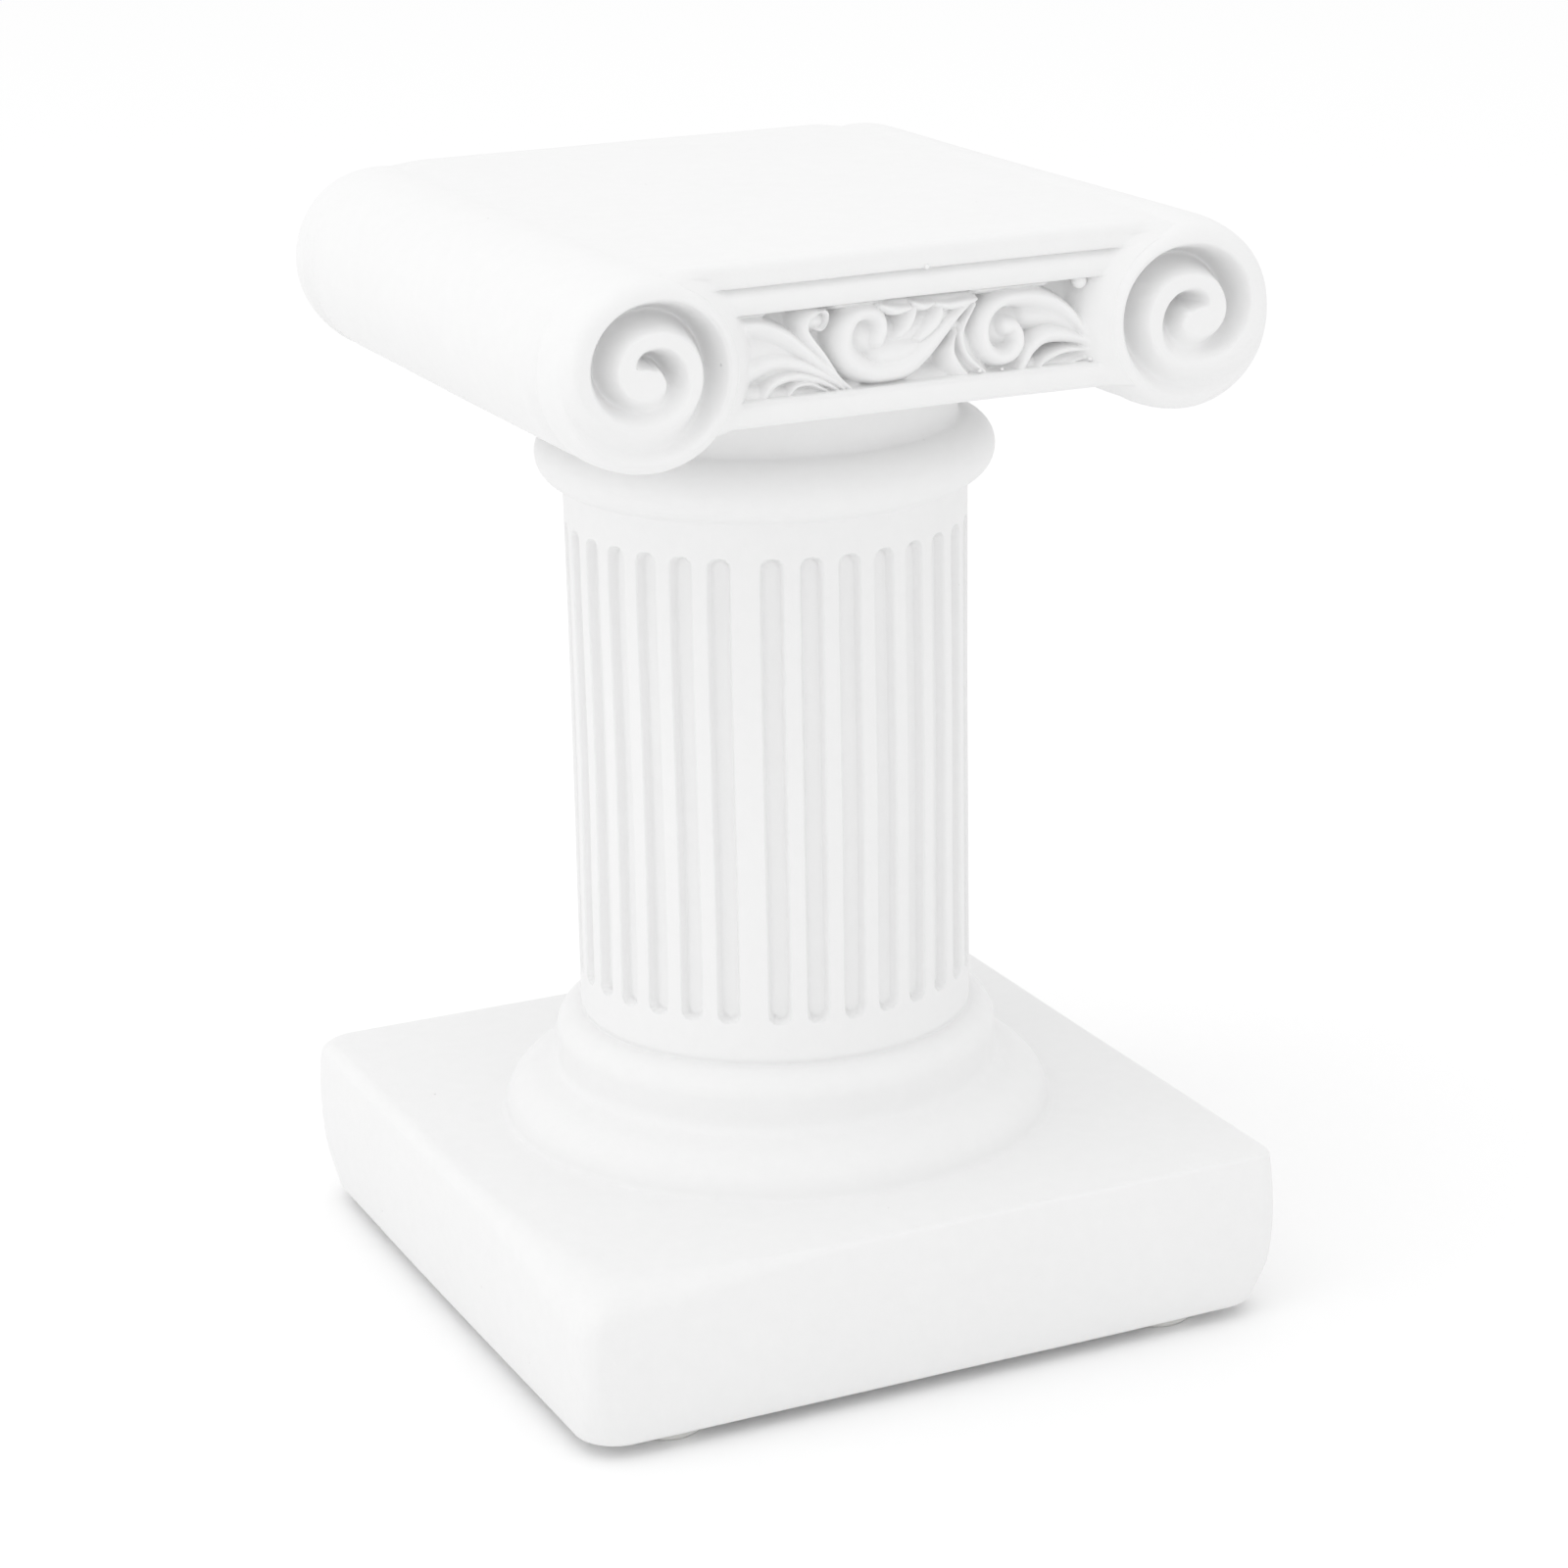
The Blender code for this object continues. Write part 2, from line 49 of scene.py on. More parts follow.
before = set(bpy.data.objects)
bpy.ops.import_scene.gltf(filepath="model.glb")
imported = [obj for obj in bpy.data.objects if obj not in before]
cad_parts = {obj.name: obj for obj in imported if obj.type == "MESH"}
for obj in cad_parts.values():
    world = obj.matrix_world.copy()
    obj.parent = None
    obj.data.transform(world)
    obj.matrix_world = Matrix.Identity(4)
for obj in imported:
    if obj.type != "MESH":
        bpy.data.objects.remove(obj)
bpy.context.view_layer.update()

MM = 0.001
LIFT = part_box("column")[0][2] / MM
# How much lower the warped casting is at its top, which keeps its high spots within its true height
SETTLE = 0.12

# Plinth
PLINTH_HEAD_EDGE = 0.55
NEAR_CORNER_WEAR = 4.0
NEAR_CORNER_REACH = 22.0
LEFT_EDGE_WEAR = 1.2
PLINTH_FOOT_EDGE = 0.7
PLINTH_CORNER = 3.0
PLINTH_FOOT_CORNER = 5.5
PLINTH_FOOT_WEAR = 7.0

# Turned mouldings
BASE_HEIGHT = 14.5
LOWER_TORUS_REACH = 10.9
LOWER_TORUS_WIDTH = 8.0
LOWER_TORUS_HEIGHT = 6.2
LOWER_TORUS_TURN = 76
UPPER_TORUS_REACH = 3.5
UPPER_TORUS_WIDTH = 3.6
UPPER_TORUS_RISE = 3.3
UPPER_TORUS_FALL = 14.6
UPPER_TORUS_TUCK = 18
SHAFT_CREASE = 0.35
NECK_BEAD_INSET = 0.4
NECK_HEIGHT = 17.7
DRUM_INSET = 1.3
DRUM_FLARE = 0.9

# Flutes
SEAM_ANGLE = -120.8
SEAM_SPACING = 14.6
FLUTE_FOOT_MARGIN = 5.8
FLUTE_HEAD_MARGIN = 4.7
FLUTE_SIDE = (0.55, 0.98, 1.14, 1.28, 1.42, 1.56, 1.72)
FLUTE_COLUMNS = (*(-offset for offset in reversed(FLUTE_SIDE)), 0.0, *FLUTE_SIDE)

# Frieze, from the top down
FASCIA_HEIGHT = 2.9
GROOVE_HEIGHT = 0.7
GROOVE_DEPTH = 1.1
BAND_HEIGHT = 2.9
BAND_CROWN = 0.7
PANEL_HEIGHT = 10.6
PANEL_DEPTH = 4.3
FOOT_BEAD_HEIGHT = 3.1
FOOT_BEAD_CROWN = 0.9
EDGE_WEAR = 1.0
BLOCK_BITE = 1.4
BLOCK_SINK = 0.85

# Flared wall between the frieze and a volute: its depth under the volute's face at the volute's
# radius, how fast it sinks and steepens outwards, the least it keeps, and how softly it joins
WALL_DEPTH = 1.75
WALL_SLOPE = 0.9
WALL_BEND = 0.25
WALL_LEAST = 0.72
WALL_SOFTNESS = 0.8

# Volutes: how far the groove has turned, its distance from the middle, its depth, and how far
# its slopes reach inwards and outwards. It starts at the outer side and runs down and round.
VOLUTE_HANG = 4.4
RIM_PROFILE = (
    (9.6, 0.0),
    (10.1, 0.08),
    (10.6, 0.3),
    (11.0, 0.62),
    (11.4, 1.15),
    (11.7, 1.9),
    (11.93, 2.9),
    (12.12, 4.1),
    (12.24, 5.4),
    (12.3, 6.8),
)
GROOVE_PATH = (
    (-45, 11.7, 0.0, 0.7, 0.5),
    (-20, 11.5, 0.25, 0.9, 0.6),
    (0, 11.2, 0.45, 1.4, 0.8),
    (30, 10.3, 0.8, 2.1, 1.3),
    (60, 9.3, 1.0, 2.4, 1.8),
    (90, 8.6, 1.2, 2.4, 2.0),
    (120, 8.3, 1.8, 2.3, 2.0),
    (150, 8.15, 3.2, 2.2, 1.9),
    (180, 8.1, 4.5, 2.2, 1.9),
    (210, 8.1, 5.0, 2.3, 1.85),
    (240, 7.85, 5.0, 2.3, 1.85),
    (270, 7.45, 5.0, 2.2, 1.9),
    (300, 7.2, 4.9, 2.1, 2.0),
    (330, 6.8, 4.6, 2.0, 2.1),
    (360, 6.25, 4.1, 1.9, 2.1),
    (390, 5.4, 3.0, 1.8, 2.0),
    (420, 4.5, 1.7, 1.8, 1.9),
    (450, 3.8, 1.2, 1.8, 2.0),
    (480, 3.4, 1.5, 1.7, 2.2),
    (510, 2.9, 2.5, 1.5, 2.2),
    (540, 2.4, 3.8, 1.4, 2.1),
    (570, 2.2, 4.4, 1.3, 2.0),
    (600, 2.1, 4.4, 1.3, 1.9),
    (630, 2.0, 4.2, 1.3, 1.8),
    (655, 2.1, 2.7, 1.1, 1.6),
    (675, 2.35, 1.2, 0.9, 1.1),
    (690, 2.5, 0.0, 0.5, 0.6),
)

# Shallow valley round each bolster behind a volute's rim
NECK_SHARES = (0.006, 0.013, 0.02, 0.03, 0.045, 0.07, 0.12, 0.25)
NECK_SINK = 0.95
NECK_PLACE = 1.7
NECK_WIDTH = 1.25

# Carving of the frieze. Each stroke is a row of points along its crest: right and up from the
# panel's middle, the reach of its left and right slopes, all in hundredths of the panel's height,
# and its own height as a share of the carving's. The whole carving then moves by its place, in the
# same hundredths, and the lip steps are the heights of the thin ledges above and below the panel.
CARVING_HEIGHT = 3.75
CARVING_PLACE = (5.5, -2.5)
LIP_STEPS = (0.03, 0.06, 0.09)
GREAT_SCROLL = (
    (60, 38, 6, 6, 0.85),
    (38, 20, 9, 10, 0.9),
    (23, 6, 14, 14, 0.93),
    (2, -13, 19, 18, 0.95),
    (-20, -28, 21, 24, 0.96),
    (-44, -33, 17, 25, 0.97),
    (-66, -31, 17, 20, 0.97),
    (-87, -19, 20, 20, 0.98),
    (-99, 0, 20, 19, 0.98),
    (-97, 22, 19, 18, 0.98),
    (-84, 37, 14, 15, 0.97),
    (-66, 38, 13, 13, 0.94),
    (-54, 29, 12, 13, 0.92),
    (-51, 16, 10, 16, 0.92),
    (-56, 5, 14, 15, 0.9),
)
SMALL_SCROLL = (
    (216, -24, 3, 3, 0.7),
    (206, -6, 8, 6, 0.8),
    (193, 11, 14, 8, 0.88),
    (172, 27, 18, 9, 0.93),
    (148, 36, 20, 11, 0.95),
    (125, 38, 17, 12, 0.96),
    (104, 36, 13, 12, 0.97),
    (88, 27, 11, 14, 0.97),
    (79, 12, 10, 17, 0.97),
    (78, -6, 10, 18, 0.97),
    (84, -21, 11, 17, 0.96),
    (97, -31, 13, 14, 0.96),
    (112, -30, 14, 12, 0.96),
    (122, -20, 14, 11, 0.96),
    (124, -7, 18, 9, 0.95),
    (118, 4, 18, 9, 0.94),
    (108, 4, 15, 15, 0.92),
)
FAN_LEAVES = (
    (
        (-93, -46, 4, 4, 0.8),
        (-115, -25, 8, 5, 0.88),
        (-132, -10, 12, 6, 0.9),
        (-149, 5, 18, 7, 0.92),
        (-173, 25, 22, 8, 0.92),
        (-198, 37, 24, 8, 0.9),
        (-222, 41, 26, 8, 0.88),
        (-245, 42, 28, 8, 0.86),
    ),
    (
        (-99, -46, 4, 3, 0.78),
        (-112, -35, 6, 5, 0.84),
        (-128, -25, 8, 7, 0.87),
        (-157, -11, 13, 9, 0.9),
        (-186, -6, 16, 12, 0.88),
        (-213, -13, 20, 16, 0.84),
        (-245, -26, 24, 18, 0.8),
    ),
    (
        (-106, -47, 4, 3, 0.78),
        (-118, -39, 5, 4, 0.82),
        (-136, -30, 8, 5, 0.85),
        (-163, -24, 10, 6, 0.86),
        (-187, -30, 11, 6, 0.84),
        (-199, -44, 10, 7, 0.8),
        (-203, -58, 9, 7, 0.76),
    ),
    (
        (-115, -49, 3, 2, 0.74),
        (-126, -43, 4, 3, 0.78),
        (-142, -35, 6, 4, 0.8),
        (-160, -37, 6, 5, 0.79),
        (-171, -50, 6, 5, 0.75),
    ),
)
STEM_AND_BUD = (
    (
        (-80, -54, 3, 3, 0.7),
        (-95, -43, 4, 4, 0.84),
        (-108, -30, 6, 4, 0.88),
        (-125, -4, 12, 4, 0.88),
        (-140, 16, 18, 4, 0.87),
        (-146, 28, 20, 4, 0.86),
        (-143, 38, 17, 5, 0.84),
        (-134, 44, 10, 5, 0.82),
    ),
    (
        (-134, 44, 4, 4, 0.84),
        (-125, 46, 4, 4, 0.84),
        (-120, 42, 4, 4, 0.83),
        (-121, 32, 4, 4, 0.82),
        (-127, 25, 4, 4, 0.8),
        (-133, 26, 3, 4, 0.77),
    ),
)
SHELL_LEAVES = (
    ((-55, 45, 5, 6, 0.9), (-37, 38, 9, 9, 1.0), (-18, 39, 5, 7, 0.92)),
    ((-14, 44, 5, 5, 0.9), (0, 39, 8, 8, 1.0), (12, 41, 5, 5, 0.9)),
    ((16, 40, 5, 5, 0.9), (33, 37, 8, 9, 0.98), (52, 38, 8, 8, 0.96), (68, 40, 5, 6, 0.82)),
    ((-9, 34, 4, 14, 0.82), (-14, 23, 4, 18, 0.87), (-20, 14, 5, 18, 0.86), (-28, 7, 5, 12, 0.8)),
    ((24, 29, 5, 16, 0.84), (19, 18, 5, 22, 0.88), (8, 8, 6, 20, 0.87), (-3, 1, 7, 10, 0.8)),
)
BLADES = (
    (
        (66, 34, 5, 4, 0.82),
        (50, 8, 6, 6, 0.88),
        (50, -11, 6, 6, 0.88),
        (59, -28, 6, 6, 0.86),
        (73, -41, 6, 6, 0.8),
        (84, -50, 5, 5, 0.74),
    ),
    (
        (43, 6, 3, 3, 0.82),
        (39, -6, 3, 6, 0.85),
        (38, -18, 4, 13, 0.86),
        (45, -33, 5, 24, 0.84),
        (57, -48, 6, 32, 0.78),
        (66, -56, 6, 34, 0.74),
    ),
)
RIGHT_LEAVES = (
    (
        (122, -54, 8, 8, 0.82),
        (128, -42, 9, 11, 0.87),
        (139, -24, 11, 13, 0.89),
        (160, -11, 11, 15, 0.9),
        (190, -14, 9, 12, 0.87),
        (218, -26, 5, 6, 0.8),
    ),
    (
        (146, -54, 5, 6, 0.78),
        (152, -44, 6, 7, 0.82),
        (165, -36, 6, 7, 0.83),
        (188, -31, 6, 6, 0.82),
        (220, -33, 4, 5, 0.76),
    ),
    ((178, -54, 5, 5, 0.7), (194, -46, 5, 5, 0.74), (218, -42, 4, 4, 0.7)),
)
LEAVES = (*FAN_LEAVES, *STEM_AND_BUD, *SHELL_LEAVES, *BLADES, *RIGHT_LEAVES)
GROUND_FILLS = (
    ((-245, 0, 42, 42, 0.5), (-190, 0, 50, 50, 0.6), (-140, -20, 36, 36, 0.64), (-105, -42, 12, 12, 0.6)),
    (
        (-245, -45, 20, 20, 0.62),
        (-215, -46, 18, 16, 0.66),
        (-160, -50, 14, 14, 0.66),
        (-104, -52, 10, 10, 0.64),
    ),
    ((-72, 8, 26, 26, 0.58), (-60, 4, 28, 28, 0.6)),
    ((-48, -14, 30, 30, 0.8), (-24, -14, 30, 30, 0.8), (-4, -12, 22, 22, 0.76)),
    ((-30, 4, 26, 26, 0.6), (0, 12, 24, 24, 0.62), (26, 24, 20, 20, 0.7)),
    ((100, 0, 30, 30, 0.5), (112, 0, 30, 30, 0.5)),
    ((140, 12, 20, 20, 0.55), (175, 8, 18, 18, 0.6), (208, -12, 14, 14, 0.6)),
    ((125, -46, 14, 12, 0.62), (160, -48, 12, 12, 0.62), (212, -44, 12, 10, 0.62)),
    ((-45, 42, 14, 12, 0.7), (60, 42, 12, 10, 0.65)),
    ((45, 10, 14, 14, 0.62), (60, -28, 16, 16, 0.64), (76, -46, 14, 14, 0.66)),
    ((-140, 34, 14, 14, 0.66), (-130, 34, 14, 14, 0.66)),
    ((-98, -52, 14, 14, 0.7), (-80, -54, 14, 14, 0.7)),
    ((-10, -60, 28, 28, 0.78), (30, -58, 26, 26, 0.76)),
    ((88, -54, 14, 14, 0.6), (124, -54, 14, 14, 0.7)),
    ((-245, 56, 14, 14, 0.8), (-200, 54, 13, 13, 0.76)),
    ((-104, 54, 12, 12, 0.76), (-76, 55, 14, 14, 0.84), (-52, 54, 10, 10, 0.8)),
    ((74, 54, 14, 14, 0.74), (96, 55, 14, 14, 0.8), (126, 56, 14, 14, 0.86), (158, 54, 12, 12, 0.8)),
)

# Beads that the mould's bubbles left: place from the plinth's underside, and radius
CASTING_BEADS = (
    ((22.2, -44.5, 140.7), 0.95),
    ((0.3, -46.5, 144.8), 0.3),
    ((8.1, -45.2, 131.1), 0.26),
    ((11.2, -45.2, 131.0), 0.2),
    ((23.4, -45.3, 131.0), 0.27),
)


class OrnamentSizes(bpy.types.PropertyGroup):
    """Main sizes of the casting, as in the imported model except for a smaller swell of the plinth."""

    plinth_side: FloatProperty(
        name="Plinth side", description="Width of the plinth at its top edge", default=0.1, unit="LENGTH"
    )
    plinth_height: FloatProperty(
        name="Plinth height", description="Height of the plinth alone", default=0.0218, unit="LENGTH"
    )
    plinth_swell: FloatProperty(
        name="Plinth swell", description="How far the plinth's sides bulge", default=0.00085, unit="LENGTH"
    )
    plinth_draft: FloatProperty(
        name="Plinth draft", description="How far the plinth's foot is drawn in", default=0.0008, unit="LENGTH"
    )
    shaft_radius: FloatProperty(
        name="Shaft radius", description="Radius of the shaft between its flutes", default=0.0267, unit="LENGTH"
    )
    shaft_height: FloatProperty(
        name="Shaft height", description="Height of the shaft's cylinder", default=0.0736, unit="LENGTH"
    )
    neck_bead_radius: FloatProperty(
        name="Neck bead radius", description="Radius of the bead under the capital", default=0.004, unit="LENGTH"
    )
    flutes_in_half: IntProperty(
        name="Flutes in half", description="Flutes between one mould seam and the other", default=16, min=2
    )
    flute_width: FloatProperty(
        name="Flute width", description="Width of one flute", default=0.0031, unit="LENGTH"
    )
    flute_depth: FloatProperty(
        name="Flute depth", description="Depth of one flute", default=0.0013, unit="LENGTH"
    )
    capital_width: FloatProperty(
        name="Capital width", description="Width over both volutes", default=0.097, unit="LENGTH"
    )
    capital_depth: FloatProperty(
        name="Capital depth", description="Length of the bolsters", default=0.097, unit="LENGTH"
    )
    volute_proud: FloatProperty(
        name="Volutes proud", description="How far the volutes stand out of the frieze", default=0.002, unit="LENGTH"
    )
    waviness: FloatProperty(
        name="Waviness", description="How far the hand-made mould wanders", default=0.00007, unit="LENGTH"
    )


class OrnamentLook(bpy.types.PropertyGroup):
    """Colours and light of the finished scene."""

    plaster_colour: FloatVectorProperty(
        name="Plaster", description="Colour of the dry plaster", default=(0.849, 0.849, 0.849), subtype="COLOR"
    )
    plaster_roughness: FloatProperty(
        name="Plaster roughness", description="Roughness of the plaster", default=0.82, subtype="FACTOR"
    )
    grain_depth: FloatProperty(
        name="Grain depth", description="Strength of the plaster's grain", default=0.25, subtype="FACTOR"
    )
    pad_colour: FloatVectorProperty(
        name="Pad", description="Colour of the clear pads", default=(0.74, 0.74, 0.72), subtype="COLOR"
    )
    floor_colour: FloatVectorProperty(
        name="Floor", description="Colour of the paper sweep", default=(0.97, 0.97, 0.97), subtype="COLOR"
    )
    key_strength: FloatProperty(
        name="Key light", description="Power of the soft light at the upper left in watts", default=1.8
    )
    side_strength: FloatProperty(
        name="Side light", description="Power of the soft light at the left in watts", default=0.88
    )
    sky_strength: FloatProperty(
        name="Room light", description="Strength of the white room round the ornament", default=1.0
    )


def read_sizes():
    """The sizes in millimetres by name, with the heights that follow from them."""
    group = bpy.context.scene.ornament_sizes
    lengths = [name for name in OrnamentSizes.__annotations__ if name != "flutes_in_half"]
    sizes = {name: getattr(group, name) / MM for name in lengths}
    sizes["flutes_in_half"] = group.flutes_in_half
    sizes["shaft_foot"] = sizes["plinth_height"] + BASE_HEIGHT
    sizes["shaft_head"] = sizes["shaft_foot"] + sizes["shaft_height"]
    sizes["drum_radius"] = sizes["shaft_radius"] - DRUM_INSET
    sizes["frieze_foot"] = sizes["shaft_head"] + NECK_HEIGHT
    sizes["panel_foot"] = sizes["frieze_foot"] + FOOT_BEAD_HEIGHT
    sizes["panel_top"] = sizes["panel_foot"] + PANEL_HEIGHT
    sizes["panel_middle"] = (sizes["panel_foot"] + sizes["panel_top"]) / 2
    sizes["band_top"] = sizes["panel_top"] + BAND_HEIGHT
    sizes["groove_top"] = sizes["band_top"] + GROOVE_HEIGHT
    sizes["capital_top"] = sizes["groove_top"] + FASCIA_HEIGHT
    sizes["volute_radius"] = (sizes["capital_top"] - sizes["frieze_foot"] + VOLUTE_HANG) / 2
    sizes["volute_height"] = sizes["capital_top"] - sizes["volute_radius"]
    sizes["volute_place"] = sizes["capital_width"] / 2 - sizes["volute_radius"]
    sizes["fascia_face"] = sizes["capital_depth"] / 2 - sizes["volute_proud"]
    return sizes


def smooth_between(places, stops, values):
    """Values at places, passing smoothly through the values at the stops."""
    places = np.asarray(places, float)
    stops = np.asarray(stops, float)
    values = np.asarray(values, float)
    slopes = np.gradient(values, stops)
    index = np.clip(np.searchsorted(stops, places) - 1, 0, len(stops) - 2)
    span = stops[index + 1] - stops[index]
    share = np.clip((places - stops[index]) / span, 0, 1)
    rise = values[index + 1] - values[index]
    curve = values[index] + rise * share * share * (3 - 2 * share)
    bend = share * (1 - share) * span
    return curve + bend * (slopes[index] * (1 - share) - slopes[index + 1] * share)


def ease(share):
    share = np.clip(share, 0, 1)
    return share * share * (3 - 2 * share)


def smooth_highest(first, second, softness):
    """The higher of two heights, with the corner where they cross filled softly."""
    near = np.clip(softness - np.abs(first - second), 0, None)
    return np.maximum(first, second) + near * near / (4 * softness)


def ellipse_arc(centre, half_width, half_height, start, end, steps):
    angles = np.radians(np.linspace(start, end, steps + 1))
    reach = centre[0] + half_width * np.cos(angles)
    height = centre[1] + half_height * np.sin(angles)
    return np.stack([reach, height], axis=1)


def soften(points, spacing, passes):
    """Even points along a line, with its corners worn round."""
    points = np.array(points, float)
    lengths = np.hypot(*np.diff(points, axis=0).T)
    along = np.concatenate([[0], np.cumsum(lengths)])
    even = np.linspace(0, along[-1], max(round(along[-1] / spacing), 2) + 1)
    line = np.stack([np.interp(even, along, points[:, 0]), np.interp(even, along, points[:, 1])], axis=1)
    for _ in range(passes):
        line[1:-1] = (line[:-2] + 2 * line[1:-1] + line[2:]) / 4
    return line


def wander(points, amount):
    """The slow warp of a hand-made mould, the same for everything at one place."""
    waves = (
        ((0.061, 0.033, 0.047), 0.3, (1.0, 0.2, 0.3)),
        ((-0.042, 0.072, 0.025), 1.9, (0.2, 1.0, 0.4)),
        ((0.118, -0.057, 0.094), 4.1, (0.5, -0.4, 0.4)),
        ((0.083, 0.135, -0.101), 2.6, (-0.4, 0.5, 0.5)),
        ((0.21, 0.17, 0.19), 5.2, (0.3, 0.3, -0.3)),
    )
    moved = points.copy()
    for direction, phase, push in waves:
        moved += amount * np.sin(points @ np.array(direction) + phase)[..., None] * np.array(push)
    return moved


def shell(rings):
    """Vertices and faces of a closed skin over rings of points, with both ends capped."""
    rings = np.asarray(rings, float)
    rows, count = rings.shape[:2]
    grid = np.arange(rows * count).reshape(rows, count)
    after = np.roll(grid, -1, axis=1)
    quads = np.stack([grid[:-1], after[:-1], after[1:], grid[1:]], axis=-1).reshape(-1, 4)
    faces = [tuple(quad) for quad in quads.tolist()]
    faces.append(tuple(reversed(grid[0].tolist())))
    faces.append(tuple(grid[-1].tolist()))
    return rings.reshape(-1, 3), faces


def make_piece(name, shells, material):
    """One object from closed shells of points in millimetres, standing at its real height."""
    vertices, faces = [], []
    for points, skin in shells:
        start = len(vertices)
        vertices += [(x * MM, y * MM, (z + LIFT) * MM) for x, y, z in points.tolist()]
        faces += [tuple(start + index for index in face) for face in skin]
    mesh = bpy.data.meshes.new(name)
    mesh.from_pydata(vertices, [], faces)
    built = bmesh.new()
    built.from_mesh(mesh)
    bmesh.ops.recalc_face_normals(built, faces=built.faces)
    built.to_mesh(mesh)
    built.free()
    mesh.shade_smooth()
    mesh.materials.append(material)
    piece = bpy.data.objects.new(name, mesh)
    bpy.context.scene.collection.objects.link(piece)
    return piece


class Wire:
    """A value that runs from one node to the next, and can be worked with as a number."""

    def __init__(self, bench, socket):
        self.bench = bench
        self.socket = socket

    def maths(self, operation, *others):
        values = dict(enumerate((self, *others)))
        return self.bench.add("ShaderNodeMath", {"operation": operation}, values)

    def __add__(self, other):
        return self.maths("ADD", other)

    def __radd__(self, other):
        return self.maths("ADD", other)

    def __sub__(self, other):
        return self.maths("SUBTRACT", other)

    def __rsub__(self, other):
        return self.bench.add("ShaderNodeMath", {"operation": "SUBTRACT"}, {0: other, 1: self})

    def __mul__(self, other):
        return self.maths("MULTIPLY", other)

    def __truediv__(self, other):
        return self.maths("DIVIDE", other)

    def __neg__(self):
        return self.maths("MULTIPLY", -1.0)

    def at_least(self, other):
        return self.maths("MAXIMUM", other)

    def at_most(self, other):
        return self.maths("MINIMUM", other)

    def step_down(self, start, end):
        """1 below start, 0 above end, and a smooth slope between them."""
        settings = {"interpolation_type": "SMOOTHSTEP"}
        values = {"Value": self, "From Min": start, "From Max": end, "To Min": 1.0, "To Max": 0.0}
        return self.bench.add("ShaderNodeMapRange", settings, values)


class Bench:
    """Adds nodes to one tree, each from its type, its settings and its inputs."""

    def __init__(self, tree):
        self.tree = tree

    def add(self, kind, settings=None, inputs=None, out=0):
        node = self.tree.nodes.new(kind)
        for name, value in (settings or {}).items():
            setattr(node, name, value)
        self.feed(node, inputs or {})
        return Wire(self, node.outputs[out])

    def feed(self, node, inputs):
        """Sets a node's inputs, each from a wire or to a plain value."""
        for key, value in inputs.items():
            if isinstance(value, Wire):
                self.tree.links.new(value.socket, node.inputs[key])
            else:
                node.inputs[key].default_value = value

    def noise(self, place, scale, detail, roughness=0.5):
        inputs = {"Vector": place, "Scale": scale, "Detail": detail, "Roughness": roughness}
        return self.add("ShaderNodeTexNoise", None, inputs)

    def bump(self, strength, distance, height):
        inputs = {"Strength": strength, "Distance": distance, "Height": height}
        return self.add("ShaderNodeBump", None, inputs)

    def shade(self, colour, tone):
        """A colour multiplied by a tone."""
        grey = self.add("ShaderNodeCombineXYZ", None, {0: tone, 1: tone, 2: tone})
        settings = {"data_type": "RGBA", "blend_type": "MULTIPLY"}
        return self.add("ShaderNodeMix", settings, {0: 1.0, 6: (*colour, 1.0), 7: grey}, out=2)

    def split(self, vector):
        """The three numbers of a vector."""
        first = self.add("ShaderNodeSeparateXYZ", None, {0: vector})
        return [Wire(self, output) for output in first.socket.node.outputs]


def new_shader(name):
    """A material's bench and its main shader node."""
    material = bpy.data.materials.new(name)
    material.use_nodes = True
    tree = material.node_tree
    return material, Bench(tree), tree.nodes["Principled BSDF"]


def plaster_material(look):
    """Dry cast plaster: fine grain, a faint mottle, and scattered pinholes darkened with painted shade."""
    material, bench, shader = new_shader("cast_plaster")
    place = bench.add("ShaderNodeTexCoord", out="Object")
    grain = bench.noise(place, 1900.0, 3.0, 0.6)
    dust = bench.noise(place, 420.0, 4.0, 0.55)
    mottle = bench.noise(place, 55.0, 5.0, 0.6)
    spots = {"Vector": place, "Scale": 260.0, "Randomness": 1.0}
    cells = bench.add("ShaderNodeTexVoronoi", {"feature": "F1"}, spots)
    cell_colour = Wire(bench, cells.socket.node.outputs["Color"])
    chance, size, _ = bench.split(cell_colour)
    chosen = chance.maths("GREATER_THAN", 0.94)
    pits = cells.step_down(0.02, 0.035 + size * 0.05) * chosen
    # the pinholes are darkened in colour as well as bumped: painted shade inside them
    tone = 1.0 - (mottle - 0.5) * 0.018 - (dust - 0.5) * 0.03 - pits * 0.2
    colour = bench.shade(look.plaster_colour, tone)
    bump = bench.bump(look.grain_depth, 0.0002, grain * 0.35 + dust * 0.65 - pits * 3.0)
    rough = look.plaster_roughness + (dust - 0.5) * 0.16
    inputs = {"Base Color": colour, "Normal": bump, "Roughness": rough, "Specular IOR Level": 0.3}
    bench.feed(shader, inputs)
    return material


def pad_material(look):
    """Soft half-clear rubber with a little dust in it."""
    material, bench, shader = new_shader("clear_pad_rubber")
    place = bench.add("ShaderNodeTexCoord", out="Object")
    dust = bench.noise(place, 900.0, 3.0)
    cloud = bench.noise(place, 160.0, 3.0)
    tone = 1.0 - (cloud - 0.5) * 0.12 - dust.step_down(0.28, 0.36) * 0.15
    colour = bench.shade(look.pad_colour, tone)
    bump = bench.bump(0.15, 0.0001, dust)
    bench.feed(shader, {"Base Color": colour, "Roughness": 0.3 + cloud * 0.2, "Normal": bump})
    return material


def paper_material(look):
    """The white paper that the ornament stands on."""
    material, bench, shader = new_shader("white_paper_sweep")
    shader.inputs["Base Color"].default_value = (*look.floor_colour, 1.0)
    shader.inputs["Roughness"].default_value = 0.9
    shader.inputs["Specular IOR Level"].default_value = 0.0
    return material


